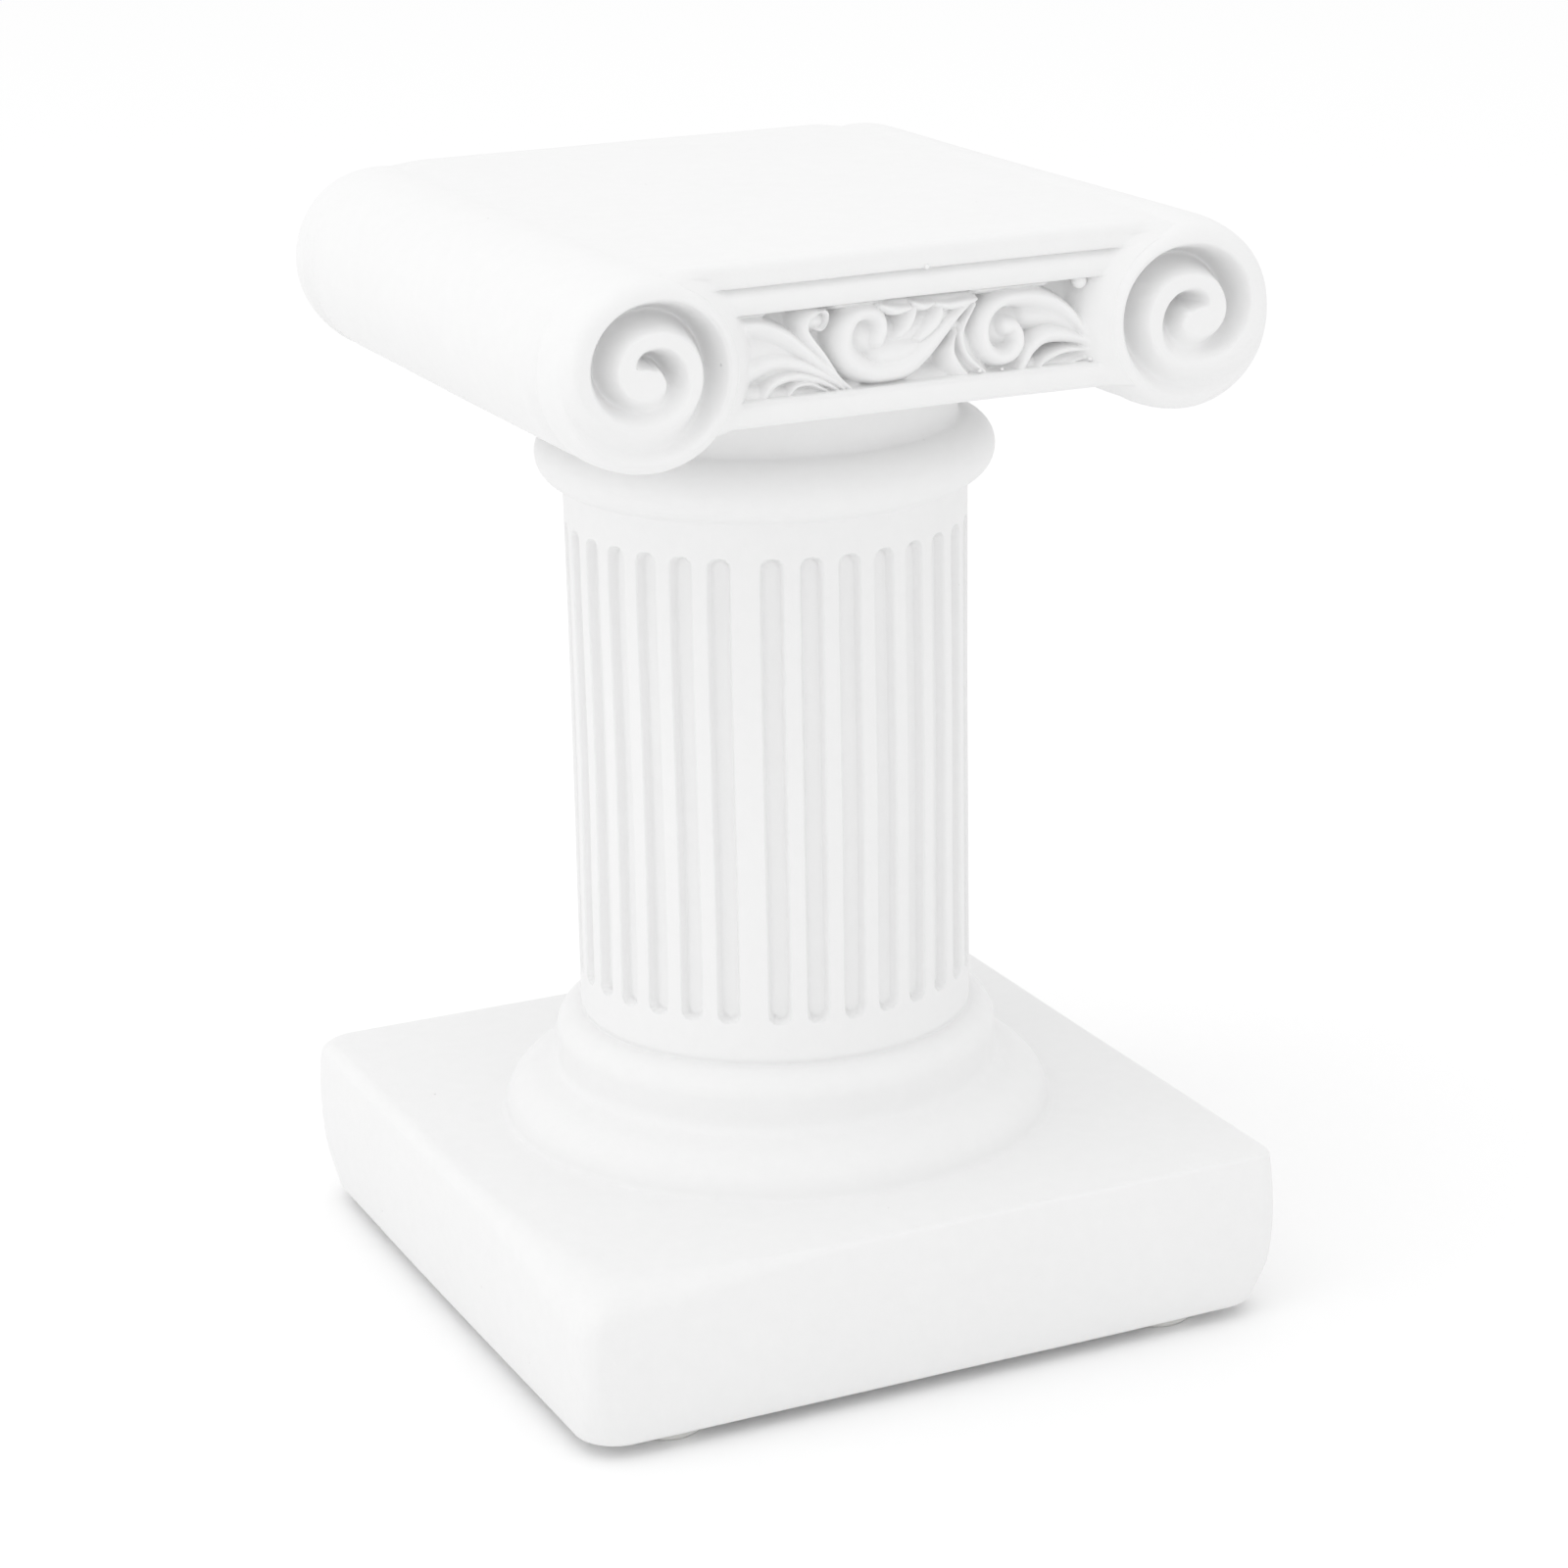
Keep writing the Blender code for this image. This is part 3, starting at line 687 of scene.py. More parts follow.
def find_material(name, maker):
    return bpy.data.materials.get(name) or maker(bpy.context.scene.ornament_look)


def column_angles(sizes):
    """Angles round the shaft, closer together across each flute."""
    spacing = (180 - SEAM_SPACING) / (sizes["flutes_in_half"] - 1)
    to_degrees = math.degrees(1 / sizes["shaft_radius"])
    across = [offset * sizes["flute_width"] / 3.1 * to_degrees for offset in FLUTE_COLUMNS]
    angles = []
    for half in range(2):
        first = SEAM_ANGLE + 180 * half + SEAM_SPACING / 2
        for index in range(sizes["flutes_in_half"]):
            middle = first + spacing * index
            angles += [middle + offset for offset in across]
            if index < sizes["flutes_in_half"] - 1:
                angles.append(middle + spacing / 2)
            else:
                gap = SEAM_SPACING - 2 * across[-1]
                angles += [middle + across[-1] + gap * share for share in (0.25, 0.5, 0.75)]
    return np.radians(np.array(angles))


def circle_ring(angles, radius, height):
    return np.stack([radius * np.cos(angles), radius * np.sin(angles), np.full_like(angles, height)], axis=1)


def square_ring(angles, half, corner, height):
    """A round-cornered square ring whose columns crowd towards its corners."""
    quarter = np.floor(angles / (math.pi / 2))
    share = (angles / (math.pi / 2) - quarter) * 2 - 1
    crowd = 0.3 * share + 0.7 * share**3
    straight = half - corner
    length = straight + corner * math.pi / 4
    run = np.abs(crowd) * length
    bend = np.minimum(run, corner * math.pi / 4)
    turn = bend / corner
    along = np.maximum(run - corner * math.pi / 4, 0)
    # in a frame whose first axis points along the corner's diagonal side, for the positive half
    angle = math.pi / 4 + turn
    x = straight + corner * np.cos(angle) - along
    y = straight + corner * np.sin(angle)
    x, y = np.where(crowd >= 0, x, y), np.where(crowd >= 0, y, x)
    spin = quarter * math.pi / 2
    turned_x, turned_y = x * np.cos(spin) - y * np.sin(spin), x * np.sin(spin) + y * np.cos(spin)
    return np.stack([turned_x, turned_y, np.full_like(x, height)], axis=1)


def plinth_ring(sizes, angles, height, inset):
    share = height / sizes["plinth_height"]
    half = sizes["plinth_side"] / 2 - sizes["plinth_draft"] * (1 - share)
    half += sizes["plinth_swell"] * 4 * share * (1 - share)
    wear = 1 - ease(height / PLINTH_FOOT_WEAR)
    corner = PLINTH_CORNER + (PLINTH_FOOT_CORNER - PLINTH_CORNER) * wear
    return square_ring(angles, half - inset, corner, height)


def head_edge(sizes, angles):
    """Radius of the plinth's top edge, which is worn softer at the left and round the near corner."""
    x, y, _ = plinth_ring(sizes, angles, sizes["plinth_height"], 0.0).T
    half = sizes["plinth_side"] / 2
    from_corner = np.hypot(x + half, y + half) / NEAR_CORNER_REACH
    edge = PLINTH_HEAD_EDGE + NEAR_CORNER_WEAR * np.exp(-(from_corner**2))
    return edge + LEFT_EDGE_WEAR * ease((-x / half - 0.9) / 0.1)


def plinth_rows(sizes, angles):
    """The plinth from its underside to the edge of its flat top."""
    top = sizes["plinth_height"]
    edge = head_edge(sizes, angles)
    levels = []
    for angle in np.radians(np.linspace(90, 0, 5)):
        levels.append((PLINTH_FOOT_EDGE * (1 - math.sin(angle)), PLINTH_FOOT_EDGE * (1 - math.cos(angle))))
    for share in (0.05, 0.1, 0.17, 0.25, 0.35, 0.5, 0.65, 0.8, 0.92):
        levels.append((PLINTH_FOOT_EDGE + (top - PLINTH_FOOT_EDGE - edge) * share, 0.0))
    for angle in np.radians(np.linspace(0, 90, 8)):
        levels.append((top - edge * (1 - math.sin(angle)), edge * (1 - math.cos(angle))))
    return [plinth_ring(sizes, angles, height, inset) for height, inset in levels]


def base_line(sizes):
    """The base's profile from the plinth to the shaft, crisp at both ends with a soft cove between."""
    radius = sizes["shaft_radius"]
    foot = sizes["shaft_foot"]
    edge = radius + LOWER_TORUS_REACH
    lower_centre = (edge - LOWER_TORUS_WIDTH, sizes["plinth_height"])
    lower = ellipse_arc(lower_centre, LOWER_TORUS_WIDTH, LOWER_TORUS_HEIGHT, 0, LOWER_TORUS_TURN, 24)
    upper_centre = (radius + UPPER_TORUS_REACH - UPPER_TORUS_WIDTH, foot - UPPER_TORUS_RISE)
    under = ellipse_arc(upper_centre, UPPER_TORUS_WIDTH, UPPER_TORUS_FALL, -UPPER_TORUS_TUCK, 0, 12)
    over = ellipse_arc(upper_centre, UPPER_TORUS_WIDTH, UPPER_TORUS_RISE, 0, 88, 12)
    sunk = radius - SHAFT_CREASE
    crease = [(sunk, foot), (sunk, foot + SHAFT_CREASE * 0.7), (radius, foot + SHAFT_CREASE * 2)]
    toe = soften([(edge + 1.5, sizes["plinth_height"]), *lower[:9]], 0.5, 1)
    cove = soften([*lower[8:], *under], 0.5, 6)
    head = soften([*over, *crease, (radius, foot + 2.5)], 0.3, 1)
    return np.concatenate([toe, cove[1:], head[1:]])


def neck_line(sizes):
    """The bead under the capital and the drum that flares into the capital's underside."""
    radius = sizes["shaft_radius"]
    head = sizes["shaft_head"]
    bead = sizes["neck_bead_radius"]
    centre = (radius - NECK_BEAD_INSET, head + bead)
    drum = sizes["drum_radius"]
    line = [(radius, head - 2.5)] + ellipse_arc(centre, bead, bead, -84, 98, 30).tolist()
    line += [(drum, centre[1] + bead), (drum, sizes["frieze_foot"] - DRUM_FLARE)]
    flare_centre = (drum + DRUM_FLARE, sizes["frieze_foot"] - DRUM_FLARE)
    line += ellipse_arc(flare_centre, DRUM_FLARE, DRUM_FLARE, 180, 90, 6).tolist()
    line.append((drum + DRUM_FLARE, sizes["frieze_foot"] + 1.0))
    return soften(line, 0.5, 1)


def shaft_heights(sizes):
    """Heights of the shaft's rings, closer together at the ends of the flutes."""
    foot, head = sizes["shaft_foot"], sizes["shaft_head"]
    half = sizes["flute_width"] / 2
    first = foot + FLUTE_FOOT_MARGIN + half
    last = head - FLUTE_HEAD_MARGIN - half
    ends = [offset * sizes["flute_width"] / 3.1 for offset in FLUTE_COLUMNS if offset >= 0]
    heights = [foot + 3.2, foot + 4.4] + [first - offset for offset in reversed(ends)]
    heights += list(np.linspace(first, last, 14)[1:-1])
    heights += [last + offset for offset in ends] + [head - 4.4, head - 3.2]
    return sorted(height for height in heights if foot + 2.8 < height < head - 2.8)


def build_turned_rows(sizes):
    """Rings of the whole lower casting, from the underside of the plinth up into the capital."""
    angles = column_angles(sizes)
    rows = plinth_rows(sizes, angles)
    base = base_line(sizes)
    rim, start = rows[-1], circle_ring(angles, *base[0])
    for share in (0.04, 0.1, 0.2, 0.33, 0.47, 0.61, 0.75, 0.88):
        rows.append(rim + (start - rim) * share)
    rows += [circle_ring(angles, radius, height) for radius, height in base]
    rows += [circle_ring(angles, sizes["shaft_radius"], height) for height in shaft_heights(sizes)]
    rows += [circle_ring(angles, radius, height) for radius, height in neck_line(sizes)]
    return np.array(rows)


def add_inputs(tree, names):
    """Declares a Geometry Nodes tree's inputs, and its one output."""
    tree.interface.new_socket(name="Geometry", in_out="OUTPUT", socket_type="NodeSocketGeometry")
    for name, kind in names:
        tree.interface.new_socket(name=name, in_out="INPUT", socket_type="NodeSocket" + kind)


def finish_tree(bench, geometry, material):
    """Ends a tree with real geometry that wears the material."""
    real = bench.add("GeometryNodeRealizeInstances", None, {0: geometry})
    dressed = bench.add("GeometryNodeSetMaterial", None, {"Geometry": real, "Material": material})
    bench.add_output(dressed)


class GeometryBench(Bench):
    """A bench for a Geometry Nodes tree, which also hands out the tree's inputs."""

    def __init__(self, name, names):
        tree = bpy.data.node_groups.new(name, "GeometryNodeTree")
        super().__init__(tree)
        add_inputs(tree, names)
        self.source = tree.nodes.new("NodeGroupInput")
        self.sink = tree.nodes.new("NodeGroupOutput")

    def given(self, name):
        return Wire(self, self.source.outputs[name])

    def add_output(self, wire):
        self.tree.links.new(wire.socket, self.sink.inputs[0])


def flute_tree():
    """Sinks flutes with round ends into a turned skin."""
    names = (
        ("Geometry", "Geometry"),
        ("Plaster", "Material"),
        ("Shaft radius", "Float"),
        ("Flute width", "Float"),
        ("Flute depth", "Float"),
        ("Flute foot", "Float"),
        ("Flute head", "Float"),
        ("Flutes in half", "Float"),
        ("Seam angle", "Float"),
        ("Seam spacing", "Float"),
    )
    bench = GeometryBench("Shaft flutes", names)
    x, y, z = bench.split(bench.add("GeometryNodeInputPosition"))
    width, seam = bench.given("Flute width"), bench.given("Seam spacing")
    turn = (y.maths("ARCTAN2", x) - bench.given("Seam angle")).maths("FLOORED_MODULO", math.pi) - seam / 2
    last = bench.given("Flutes in half") - 1.0
    spacing = (math.pi - seam) / last
    index = (turn / spacing).maths("ROUND").at_least(0.0).at_most(last)
    across = (turn - index * spacing) * bench.given("Shaft radius")
    above = z - (bench.given("Flute head") - width / 2)
    below = (bench.given("Flute foot") + width / 2) - z
    past = above.at_least(below).at_least(0.0)
    reach = (across * across + past * past).maths("SQRT") / (width / 2)
    cut = reach.step_down(0.7, 1.0) * bench.given("Flute depth")
    inwards = -cut / (x * x + y * y).maths("SQRT")
    offset = bench.add("ShaderNodeCombineXYZ", None, {0: x * inwards, 1: y * inwards, 2: 0.0})
    moved = bench.add("GeometryNodeSetPosition", None, {"Geometry": bench.given("Geometry"), "Offset": offset})
    finish_tree(bench, moved, bench.given("Plaster"))
    return bench.tree


def copies_tree(name):
    """Puts a copy of one shape on every point, as large as the point says."""
    names = (("Geometry", "Geometry"), ("Shape", "Object"), ("Material", "Material"))
    bench = GeometryBench(name, names)
    shape = bench.add("GeometryNodeObjectInfo", None, {0: bench.given("Shape")}, out="Geometry")
    size = bench.add("GeometryNodeInputNamedAttribute", {"data_type": "FLOAT"}, {"Name": "size"})
    placed = bench.add(
        "GeometryNodeInstanceOnPoints",
        None,
        {"Points": bench.given("Geometry"), "Instance": shape, "Scale": size},
    )
    finish_tree(bench, placed, bench.given("Material"))
    return bench.tree


def bake_nodes(piece, tree, values):
    """Runs a tree on a piece with its inputs set, and keeps the result as a plain mesh."""
    modifier = piece.modifiers.new(tree.name, "NODES")
    modifier.node_group = tree
    for item in tree.interface.items_tree:
        if item.in_out == "INPUT" and item.name in values:
            modifier[item.identifier] = values[item.name]
    piece.update_tag()
    evaluated = piece.evaluated_get(bpy.context.evaluated_depsgraph_get())
    mesh = bpy.data.meshes.new_from_object(evaluated)
    piece.modifiers.remove(modifier)
    old = piece.data
    piece.data = mesh
    mesh.name = piece.name
    bpy.data.meshes.remove(old)
    mesh.shade_smooth()


def make_turned_body(sizes):
    """Plinth, base, fluted shaft, neck bead and drum."""
    plaster = find_material("cast_plaster", plaster_material)
    body = make_piece("plinth_and_shaft", [shell(build_turned_rows(sizes))], plaster)
    values = {
        "Plaster": plaster,
        "Shaft radius": sizes["shaft_radius"] * MM,
        "Flute width": sizes["flute_width"] * MM,
        "Flute depth": sizes["flute_depth"] * MM,
        "Flute foot": (sizes["shaft_foot"] + FLUTE_FOOT_MARGIN + LIFT) * MM,
        "Flute head": (sizes["shaft_head"] - FLUTE_HEAD_MARGIN + LIFT) * MM,
        "Flutes in half": float(sizes["flutes_in_half"]),
        "Seam angle": math.radians(SEAM_ANGLE),
        "Seam spacing": math.radians(SEAM_SPACING),
    }
    bake_nodes(body, flute_tree(), values)
    return finish_plaster_piece(body, sizes)


def warp_piece(piece, sizes):
    """Gives a finished piece the mould's slow waviness."""
    mesh = piece.data
    flat = np.empty(len(mesh.vertices) * 3)
    mesh.vertices.foreach_get("co", flat)
    moved = wander(flat.reshape(-1, 3) / MM, sizes["waviness"])
    moved[:, 2] -= SETTLE * moved[:, 2] / sizes["capital_top"]
    mesh.vertices.foreach_set("co", (moved * MM).ravel())
    mesh.update()


def volute_depth(radii, turns):
    """Depth of the coiled face below its crest, at distances from its middle and turns in degrees."""
    laps = [groove_cut(radii, turns + 360.0 * lap) for lap in (-1, 0, 1)]
    return np.maximum.reduce(laps)


def groove_cut(radii, place):
    """Depth of the groove where it has turned as far as place says, with soft slopes beside it."""
    stops, *columns = zip(*GROOVE_PATH)
    middle, sunk, inwards, outwards = (smooth_between(place, stops, values) for values in columns)
    inside = (place >= stops[0]) & (place <= stops[-1])
    gap = radii - middle
    reach = np.where(gap < 0, inwards, outwards)
    return np.where(inside, sunk * (1 - ease(np.abs(gap) / reach)), 0)


def build_bolster_rows(sizes, side):
    """Rings of one bolster, from the front eye over both coiled ends to the back eye."""
    radius = sizes["volute_radius"]
    crest = RIM_PROFILE[0][0]
    scale = radius / RIM_PROFILE[-1][0]
    turns = np.linspace(0, 360, 200, endpoint=False)
    inner = np.concatenate([[0.05, 0.2], np.linspace(0.35, crest, 80)])
    rim_reach, rim_drop = soften(RIM_PROFILE, 0.3, 1).T
    reach = np.concatenate([inner, rim_reach[1:]])[:, None] * scale
    drop = np.concatenate([np.zeros_like(inner), rim_drop[1:]])[:, None]
    fade = np.clip((radius - reach) / 0.3, 0, 1)
    depth = drop + volute_depth(reach / scale, turns[None, :]) * fade
    angles = np.radians(turns)[None, :]
    x = side * (sizes["volute_place"] + reach * np.cos(angles))
    z = sizes["volute_height"] - reach * np.sin(angles)
    face = sizes["capital_depth"] / 2
    front = np.stack([x, depth - face, z], axis=-1)
    back = np.stack([x, face - depth, z], axis=-1)
    lower = ease((1 + np.sin(angles[0])) / 1.3)
    middle = []
    for share in (*NECK_SHARES, 0.5, *(1 - share for share in reversed(NECK_SHARES))):
        from_rim = min(share, 1 - share) * 2 * (face - rim_drop[-1])
        thin = 1 - NECK_SINK / radius * math.exp(-(((from_rim - NECK_PLACE) / NECK_WIDTH) ** 2)) * lower
        ring = front[-1] + (back[-1] - front[-1]) * share
        centre = np.array([side * sizes["volute_place"], 0.0, sizes["volute_height"]])
        scales = np.stack([thin, np.ones_like(thin), thin], axis=-1)
        middle.append(centre + (ring - centre) * scales)
    return np.concatenate([front, np.array(middle), back[::-1]])


def stroke_height(points, stroke):
    """Height of one stroke over points of the panel, as a share of the carving's."""
    stops = np.arange(len(stroke))
    places = np.linspace(0, len(stroke) - 1, 9 * (len(stroke) - 1) + 1)
    rows = np.stack([smooth_between(places, stops, column) for column in zip(*stroke)], axis=1)
    widest = rows[:, 2:4].max()
    low, high = rows[:, :2].min(axis=0) - widest, rows[:, :2].max(axis=0) + widest
    near = np.flatnonzero(((points >= low) & (points <= high)).all(axis=1))
    spots = points[near]
    nearest = np.full(len(near), np.inf)
    found = np.zeros((len(near), 3))
    for start, end in zip(rows, rows[1:]):
        along = end[:2] - start[:2]
        offset = spots - start[:2]
        place = np.clip(offset @ along / (along @ along), 0, 1)[:, None]
        distance = np.linalg.norm(offset - place * along, axis=1)
        values = start[2:] + place * (end[2:] - start[2:])
        left = along[0] * offset[:, 1] - along[1] * offset[:, 0] > 0
        closer = distance < nearest
        reach = np.where(left, values[:, 0], values[:, 1])
        found[closer] = np.stack([distance / reach, reach, values[:, 2]], axis=1)[closer]
        nearest = np.minimum(nearest, distance)
    gap, reach, height = found.T
    power = 0.5 + np.clip((reach - 10) / 30, 0, 0.8)
    result = np.zeros(len(points))
    result[near] = height * np.clip(1 - gap**2, 0, 1) ** power
    return result


def carving(points):
    """Height of the front frieze's carving over points of the panel, in millimetres."""
    places = points * 100 / PANEL_HEIGHT - CARVING_PLACE
    height = np.zeros(len(places))
    for stroke in (GREAT_SCROLL, SMALL_SCROLL, *LEAVES, *GROUND_FILLS):
        height = np.maximum(height, stroke_height(places, stroke))
    under_band = ease((50 - CARVING_PLACE[1] - places[:, 1]) / 3)
    return height * CARVING_HEIGHT * (0.55 + 0.45 * under_band)


def plain_carving(points):
    """The back panel's plain pair of scrolls, turned away from each other."""
    places = points * 100 / PANEL_HEIGHT
    height = np.zeros(len(places))
    for side in (-1, 1):
        height = np.maximum(height, stroke_height(places * (side, 1), SMALL_SCROLL))
    return height * CARVING_HEIGHT * 0.7


def blur(field, passes):
    """A field of heights worn soft."""
    for _ in range(passes):
        wide = np.pad(field, 1, mode="edge")
        field = (wide[:-2, 1:-1] + wide[2:, 1:-1] + wide[1:-1, :-2] + wide[1:-1, 2:] + 4 * field) / 8
    return field


def frieze_rows(sizes, rows_in_panel):
    """The frieze's section as (reach, height) above and below the panel, and the panel's heights."""
    face = sizes["fascia_face"]
    top = [(face - EDGE_WEAR, sizes["capital_top"])]
    for angle in np.radians((22, 45, 68, 90)):
        inset, fall = EDGE_WEAR * (1 - math.sin(angle)), EDGE_WEAR * (1 - math.cos(angle))
        top.append((face - inset, sizes["capital_top"] - fall))
    groove_middle = (sizes["groove_top"] + sizes["band_top"]) / 2
    for step in (0.85, 0.65, 0.45, 0.25, 0.12):
        top.append((face, sizes["groove_top"] + (FASCIA_HEIGHT - EDGE_WEAR) * step))
    top += [(face - 0.08, sizes["groove_top"] + 0.05), (face - 0.35, groove_middle + 0.14)]
    top += [(face - GROOVE_DEPTH, groove_middle + 0.04), (face - GROOVE_DEPTH, groove_middle - 0.08)]
    for share in np.linspace(0, 1, 9):
        crown = BAND_CROWN * (4 * share * (1 - share)) ** 0.7
        top.append((face - BAND_CROWN + crown, sizes["band_top"] - BAND_HEIGHT * share))
    foot = []
    for share in np.linspace(0, 1, 9):
        crown = FOOT_BEAD_CROWN * math.sqrt(max(4 * share * (1 - share), 0))
        foot.append((face - FOOT_BEAD_CROWN + crown, sizes["panel_foot"] - FOOT_BEAD_HEIGHT * share))
    margin = LIP_STEPS[-1] + LIP_STEPS[0]
    heights = np.linspace(sizes["panel_top"] - margin, sizes["panel_foot"] + margin, rows_in_panel)
    return top, heights, foot


def block_reach(sizes, height):
    """Half the block's length at a height, which ends a little inside the round bolsters."""
    within = (sizes["volute_radius"] - BLOCK_BITE) ** 2 - (height - sizes["volute_height"]) ** 2
    return sizes["volute_place"] - np.sqrt(np.clip(within, 0, None))


def frieze_side(sizes, end, shares, rows_in_panel, relief):
    """One decorated side of the block, as rows of points from the top edge to the underside."""
    top, heights, foot = frieze_rows(sizes, rows_in_panel)
    grid_x = shares * block_reach(sizes, heights)[:, None]
    grid_z = np.broadcast_to((heights - sizes["panel_middle"])[:, None], grid_x.shape)
    raised = blur(relief(np.stack([grid_x.ravel(), grid_z.ravel()], axis=1)).reshape(grid_x.shape), 1)
    panel = sizes["fascia_face"] - PANEL_DEPTH + raised

    def lip(outer, inner, steps):
        return [outer + (inner - outer) * step for step in steps]

    reach = [np.full_like(shares, row[0]) for row in top]
    reach += lip(top[-1][0], panel[0], (0.12, 0.45, 0.8))
    reach += list(panel)
    reach += lip(foot[0][0], panel[-1], (0.8, 0.45, 0.12))
    reach += [np.full_like(shares, row[0]) for row in foot]
    height = [row[1] for row in top] + [sizes["panel_top"] - step for step in LIP_STEPS] + list(heights)
    height += [sizes["panel_foot"] + step for step in reversed(LIP_STEPS)]
    height = np.array(height + [row[1] for row in foot])
    width = shares * block_reach(sizes, height)[:, None]
    height = np.broadcast_to(height[:, None], width.shape)
    gap = np.hypot(np.abs(width) - sizes["volute_place"], height - sizes["volute_height"])
    gap -= sizes["volute_radius"]
    sunk = WALL_DEPTH + WALL_SLOPE * gap + WALL_BEND * np.maximum(gap, 0) ** 2
    wall = sizes["capital_depth"] / 2 - np.maximum(sunk, WALL_LEAST)
    reach = smooth_highest(np.array(reach), wall, WALL_SOFTNESS)
    return np.stack([width, end * reach, height], axis=-1)


def build_block_rows(sizes):
    """The capital's block between its bolsters, as rings round its section from left to right."""
    place = sizes["volute_place"]
    shares = np.linspace(-1, 1, 427)
    front = frieze_side(sizes, -1, shares, 80, carving)
    back = frieze_side(sizes, 1, shares, 30, plain_carving)[::-1]
    rows_under = [front[-1] + (back[0] - front[-1]) * step for step in np.linspace(0, 1, 14)[1:-1]]
    rows_over = [back[-1] + (front[0] - back[-1]) * step for step in np.linspace(0, 1, 20)[1:-1]]
    loop = np.concatenate([front, np.array(rows_under), back, np.array(rows_over)])
    x, y, z = np.moveaxis(loop, -1, 0)
    near_face = np.clip((np.abs(y) - sizes["fascia_face"] + 6) / 6, 0, 1)
    sink = BLOCK_SINK * (0.15 + 0.85 * ease(near_face)) * ease((np.abs(x) - place + 7) / 7)
    upper = np.clip((z - sizes["groove_top"]) / FASCIA_HEIGHT, 0, 1)
    loop[..., 2] -= sink * upper
    return loop.transpose(1, 0, 2)


def finish_plaster_piece(piece, sizes):
    """Warps a piece as the mould did, hides the imported casting and hangs the piece on the root body."""
    warp_piece(piece, sizes)
    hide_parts("column")
    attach(piece, "root")
    return piece


def make_capital_block(sizes):
    """The flat-topped block between the bolsters, with its frieze on both faces."""
    plaster = find_material("cast_plaster", plaster_material)
    return finish_plaster_piece(make_piece("capital_block", [shell(build_block_rows(sizes))], plaster), sizes)


def make_bolsters(sizes):
    """The two bolsters, each with a coiled volute at both ends."""
    plaster = find_material("cast_plaster", plaster_material)
    shells = [shell(build_bolster_rows(sizes, side)) for side in (-1, 1)]
    return finish_plaster_piece(make_piece("volute_bolsters", shells, plaster), sizes)


def make_points(name, places, sizes):
    """A cloud of points, each with a size of its own."""
    mesh = bpy.data.meshes.new(name)
    mesh.from_pydata(places, [], [])
    attribute = mesh.attributes.new("size", "FLOAT", "POINT")
    attribute.data.foreach_set("value", sizes)
    cloud = bpy.data.objects.new(name, mesh)
    bpy.context.scene.collection.objects.link(cloud)
    return cloud


def place_copies(name, tree_name, shape, places, scales, material):
    """Copies of a shape on points, as one plain mesh."""
    cloud = make_points(name, places, scales)
    values = {"Shape": shape, "Material": material}
    bake_nodes(cloud, copies_tree(tree_name), values)
    bpy.data.objects.remove(shape, do_unlink=True)
    return cloud


def make_casting_beads(sizes):
    """Small round beads that bubbles in the mould left on the casting."""
    plaster = find_material("cast_plaster", plaster_material)
    mesh = bpy.data.meshes.new("bead")
    built = bmesh.new()
    bmesh.ops.create_icosphere(built, subdivisions=3, radius=MM)
    built.to_mesh(mesh)
    built.free()
    bead = bpy.data.objects.new("bead", mesh)
    bpy.context.scene.collection.objects.link(bead)
    places = [(x * MM, y * MM, (z + LIFT) * MM) for (x, y, z), radius in CASTING_BEADS]
    scales = [radius for place, radius in CASTING_BEADS]
    beads = place_copies("casting_beads", "Casting beads", bead, places, scales, plaster)
    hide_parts("column")
    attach(beads, "root")
    return beads


def make_pads():
    """The four thin round pads under the plinth."""
    names = ("pad_front_left", "pad_front_right", "pad_back_left", "pad_back_right")
    low, high = (Vector(corner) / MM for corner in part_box(names[0]))
    radius, thickness = (high.x - low.x) / 2, high.z - low.z
    steps = 72
    line = [(0.05, 0.0), (radius * 0.5, 0.0)]
    line += ellipse_arc((radius - 0.45, 0.45), 0.45, 0.45, -90, 0, 6).tolist()
    line += ellipse_arc((radius - 0.2, thickness - 0.2), 0.2, 0.2, 0, 90, 4).tolist()
    line += [(radius * 0.5, thickness), (0.05, thickness)]
    angles = np.linspace(0, math.tau, steps, endpoint=False)
    rings = [circle_ring(angles, reach, height - LIFT) for reach, height in line]
    rubber = find_material("clear_pad_rubber", pad_material)
    pad = make_piece("pad", [shell(rings)], rubber)
    places = []
    for name in names:
        low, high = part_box(name)
        places.append(((low[0] + high[0]) / 2, (low[1] + high[1]) / 2, 0.0))
    pads = place_copies("stick_on_pads", "Stick-on pads", pad, places, [1.0] * len(places), rubber)
    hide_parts(*names)
    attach(pads, "root")
    return pads


# The camera's place in metres, and its turns in degrees
CAMERA_PLACE = (-0.216763, -0.469761, 0.234593)
CAMERA_YAW = 24.9627
CAMERA_PITCH = -17.7936
CAMERA_ROLL = 1.0262
CAMERA_LENS = 92.154
# Half the paper floor's side in metres
FLOOR_REACH = 6.0


def camera_turn():
    """The camera's turning matrix from its yaw, pitch and roll."""
    yaw, pitch, roll = (math.radians(value) for value in (CAMERA_YAW, CAMERA_PITCH, CAMERA_ROLL))
    forward = Vector((math.sin(yaw) * math.cos(pitch), math.cos(yaw) * math.cos(pitch), math.sin(pitch)))
    right = Vector((math.cos(yaw), -math.sin(yaw), 0.0))
    down = forward.cross(right)
    right_now = right * math.cos(roll) + down * math.sin(roll)
    down_now = down * math.cos(roll) - right * math.sin(roll)
    return Matrix((right_now, -down_now, -forward)).transposed().to_4x4()


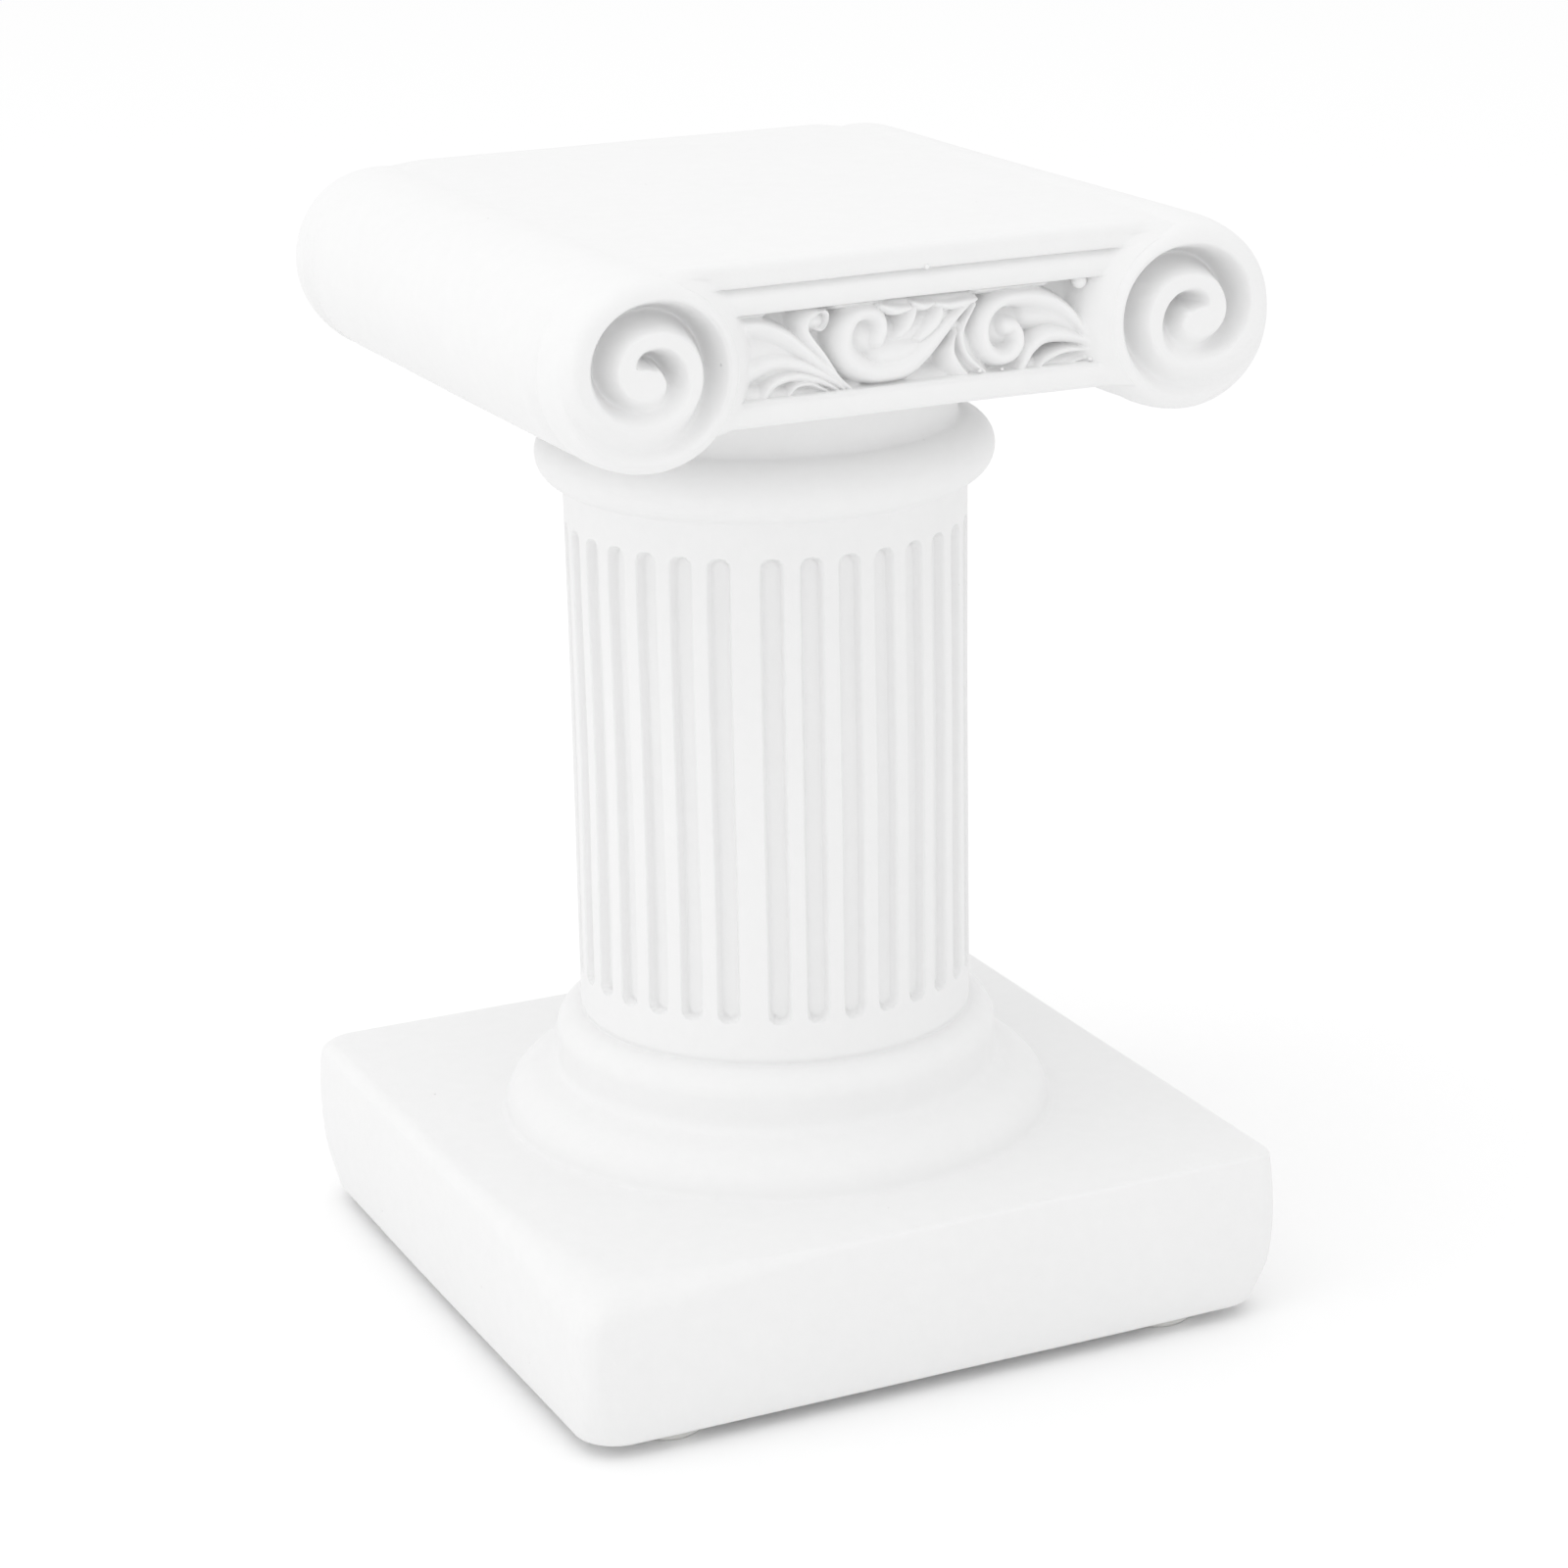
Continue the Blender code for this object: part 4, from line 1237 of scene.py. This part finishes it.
def add_area_light(name, place, target, size, power):
    light = bpy.data.lights.new(name, "AREA")
    light.shape = "DISK"
    light.size = size
    light.energy = power
    lamp = bpy.data.objects.new(name, light)
    lamp.location = place
    lamp.rotation_euler = (Vector(target) - Vector(place)).to_track_quat("-Z", "Y").to_euler()
    bpy.context.scene.collection.objects.link(lamp)
    return lamp


def make_stage():
    """White paper floor, a white room, soft lights at the upper left and the left, and the camera."""
    scene = bpy.context.scene
    look = scene.ornament_look
    camera_data = bpy.data.cameras.new("camera")
    camera_data.sensor_width = 36.0
    camera_data.lens = CAMERA_LENS
    camera_data.clip_start = 0.01
    camera = bpy.data.objects.new("camera", camera_data)
    camera.matrix_world = Matrix.Translation(CAMERA_PLACE) @ camera_turn()
    scene.collection.objects.link(camera)
    scene.camera = camera
    paper = find_material("white_paper_sweep", paper_material)
    mesh = bpy.data.meshes.new("paper_floor")
    corners = [(x * FLOOR_REACH, y * FLOOR_REACH, 0) for x, y in ((-1, -1), (1, -1), (1, 1), (-1, 1))]
    mesh.from_pydata(corners, [], [(0, 1, 2, 3)])
    mesh.materials.append(paper)
    floor = bpy.data.objects.new("paper_floor", mesh)
    scene.collection.objects.link(floor)
    world = bpy.data.worlds.new("white_room")
    world.use_nodes = True
    background = world.node_tree.nodes["Background"]
    background.inputs["Color"].default_value = (1.0, 1.0, 1.0, 1.0)
    background.inputs["Strength"].default_value = look.sky_strength
    scene.world = world
    add_area_light("key_light", (-0.5, -0.2, 1.25), (0, 0, 0.08), 1.0, look.key_strength)
    add_area_light("side_light", (-1.3, 0.1, 0.5), (0, 0, 0.08), 0.9, look.side_strength)
    scene.view_settings.view_transform = "Standard"
    scene.view_settings.look = "None"


class ORNAMENT_OT_stage(bpy.types.Operator):
    """Set up the paper floor, the room, the light and the camera"""

    bl_idname = "ornament.stage"
    bl_label = "Stage"

    def execute(self, context):
        make_stage()
        return {"FINISHED"}


class ORNAMENT_OT_turned_body(bpy.types.Operator):
    """Make the plinth, the base, the fluted shaft and the neck"""

    bl_idname = "ornament.turned_body"
    bl_label = "Plinth and Shaft"

    def execute(self, context):
        make_turned_body(read_sizes())
        return {"FINISHED"}


class ORNAMENT_OT_capital(bpy.types.Operator):
    """Make the capital's block with its carved frieze, and the bolsters with their volutes"""

    bl_idname = "ornament.capital"
    bl_label = "Capital"

    def execute(self, context):
        make_capital_block(read_sizes())
        make_bolsters(read_sizes())
        return {"FINISHED"}


class ORNAMENT_OT_casting_beads(bpy.types.Operator):
    """Make the small beads that bubbles left on the casting"""

    bl_idname = "ornament.casting_beads"
    bl_label = "Casting Beads"

    def execute(self, context):
        make_casting_beads(read_sizes())
        return {"FINISHED"}


class ORNAMENT_OT_pads(bpy.types.Operator):
    """Make the four stick-on pads"""

    bl_idname = "ornament.pads"
    bl_label = "Pads"

    def execute(self, context):
        make_pads()
        return {"FINISHED"}


class ORNAMENT_PT_panel(bpy.types.Panel):
    """Lists the pieces of the ornament and its sizes"""

    bl_label = "Column Ornament"
    bl_idname = "ORNAMENT_PT_panel"
    bl_space_type = "VIEW_3D"
    bl_region_type = "UI"
    bl_category = "Ornament"

    def draw(self, context):
        column = self.layout.column(align=True)
        for operator in OPERATORS:
            column.operator(operator.bl_idname, text=operator.bl_label)
        for group in (context.scene.ornament_sizes, context.scene.ornament_look):
            box = self.layout.box()
            for name in type(group).__annotations__:
                box.prop(group, name)


OPERATORS = (
    ORNAMENT_OT_stage,
    ORNAMENT_OT_turned_body,
    ORNAMENT_OT_capital,
    ORNAMENT_OT_casting_beads,
    ORNAMENT_OT_pads,
)
CLASSES = (OrnamentSizes, OrnamentLook, *OPERATORS, ORNAMENT_PT_panel)


def register():
    for one_class in CLASSES:
        bpy.utils.register_class(one_class)
    bpy.types.Scene.ornament_sizes = PointerProperty(type=OrnamentSizes)
    bpy.types.Scene.ornament_look = PointerProperty(type=OrnamentLook)


def unregister():
    del bpy.types.Scene.ornament_look
    del bpy.types.Scene.ornament_sizes
    for one_class in reversed(CLASSES):
        bpy.utils.unregister_class(one_class)


def main():
    register()
    bpy.ops.ornament.stage()
    bpy.ops.ornament.turned_body()
    bpy.ops.ornament.capital()
    bpy.ops.ornament.casting_beads()
    bpy.ops.ornament.pads()


if __name__ == "__main__":
    main()
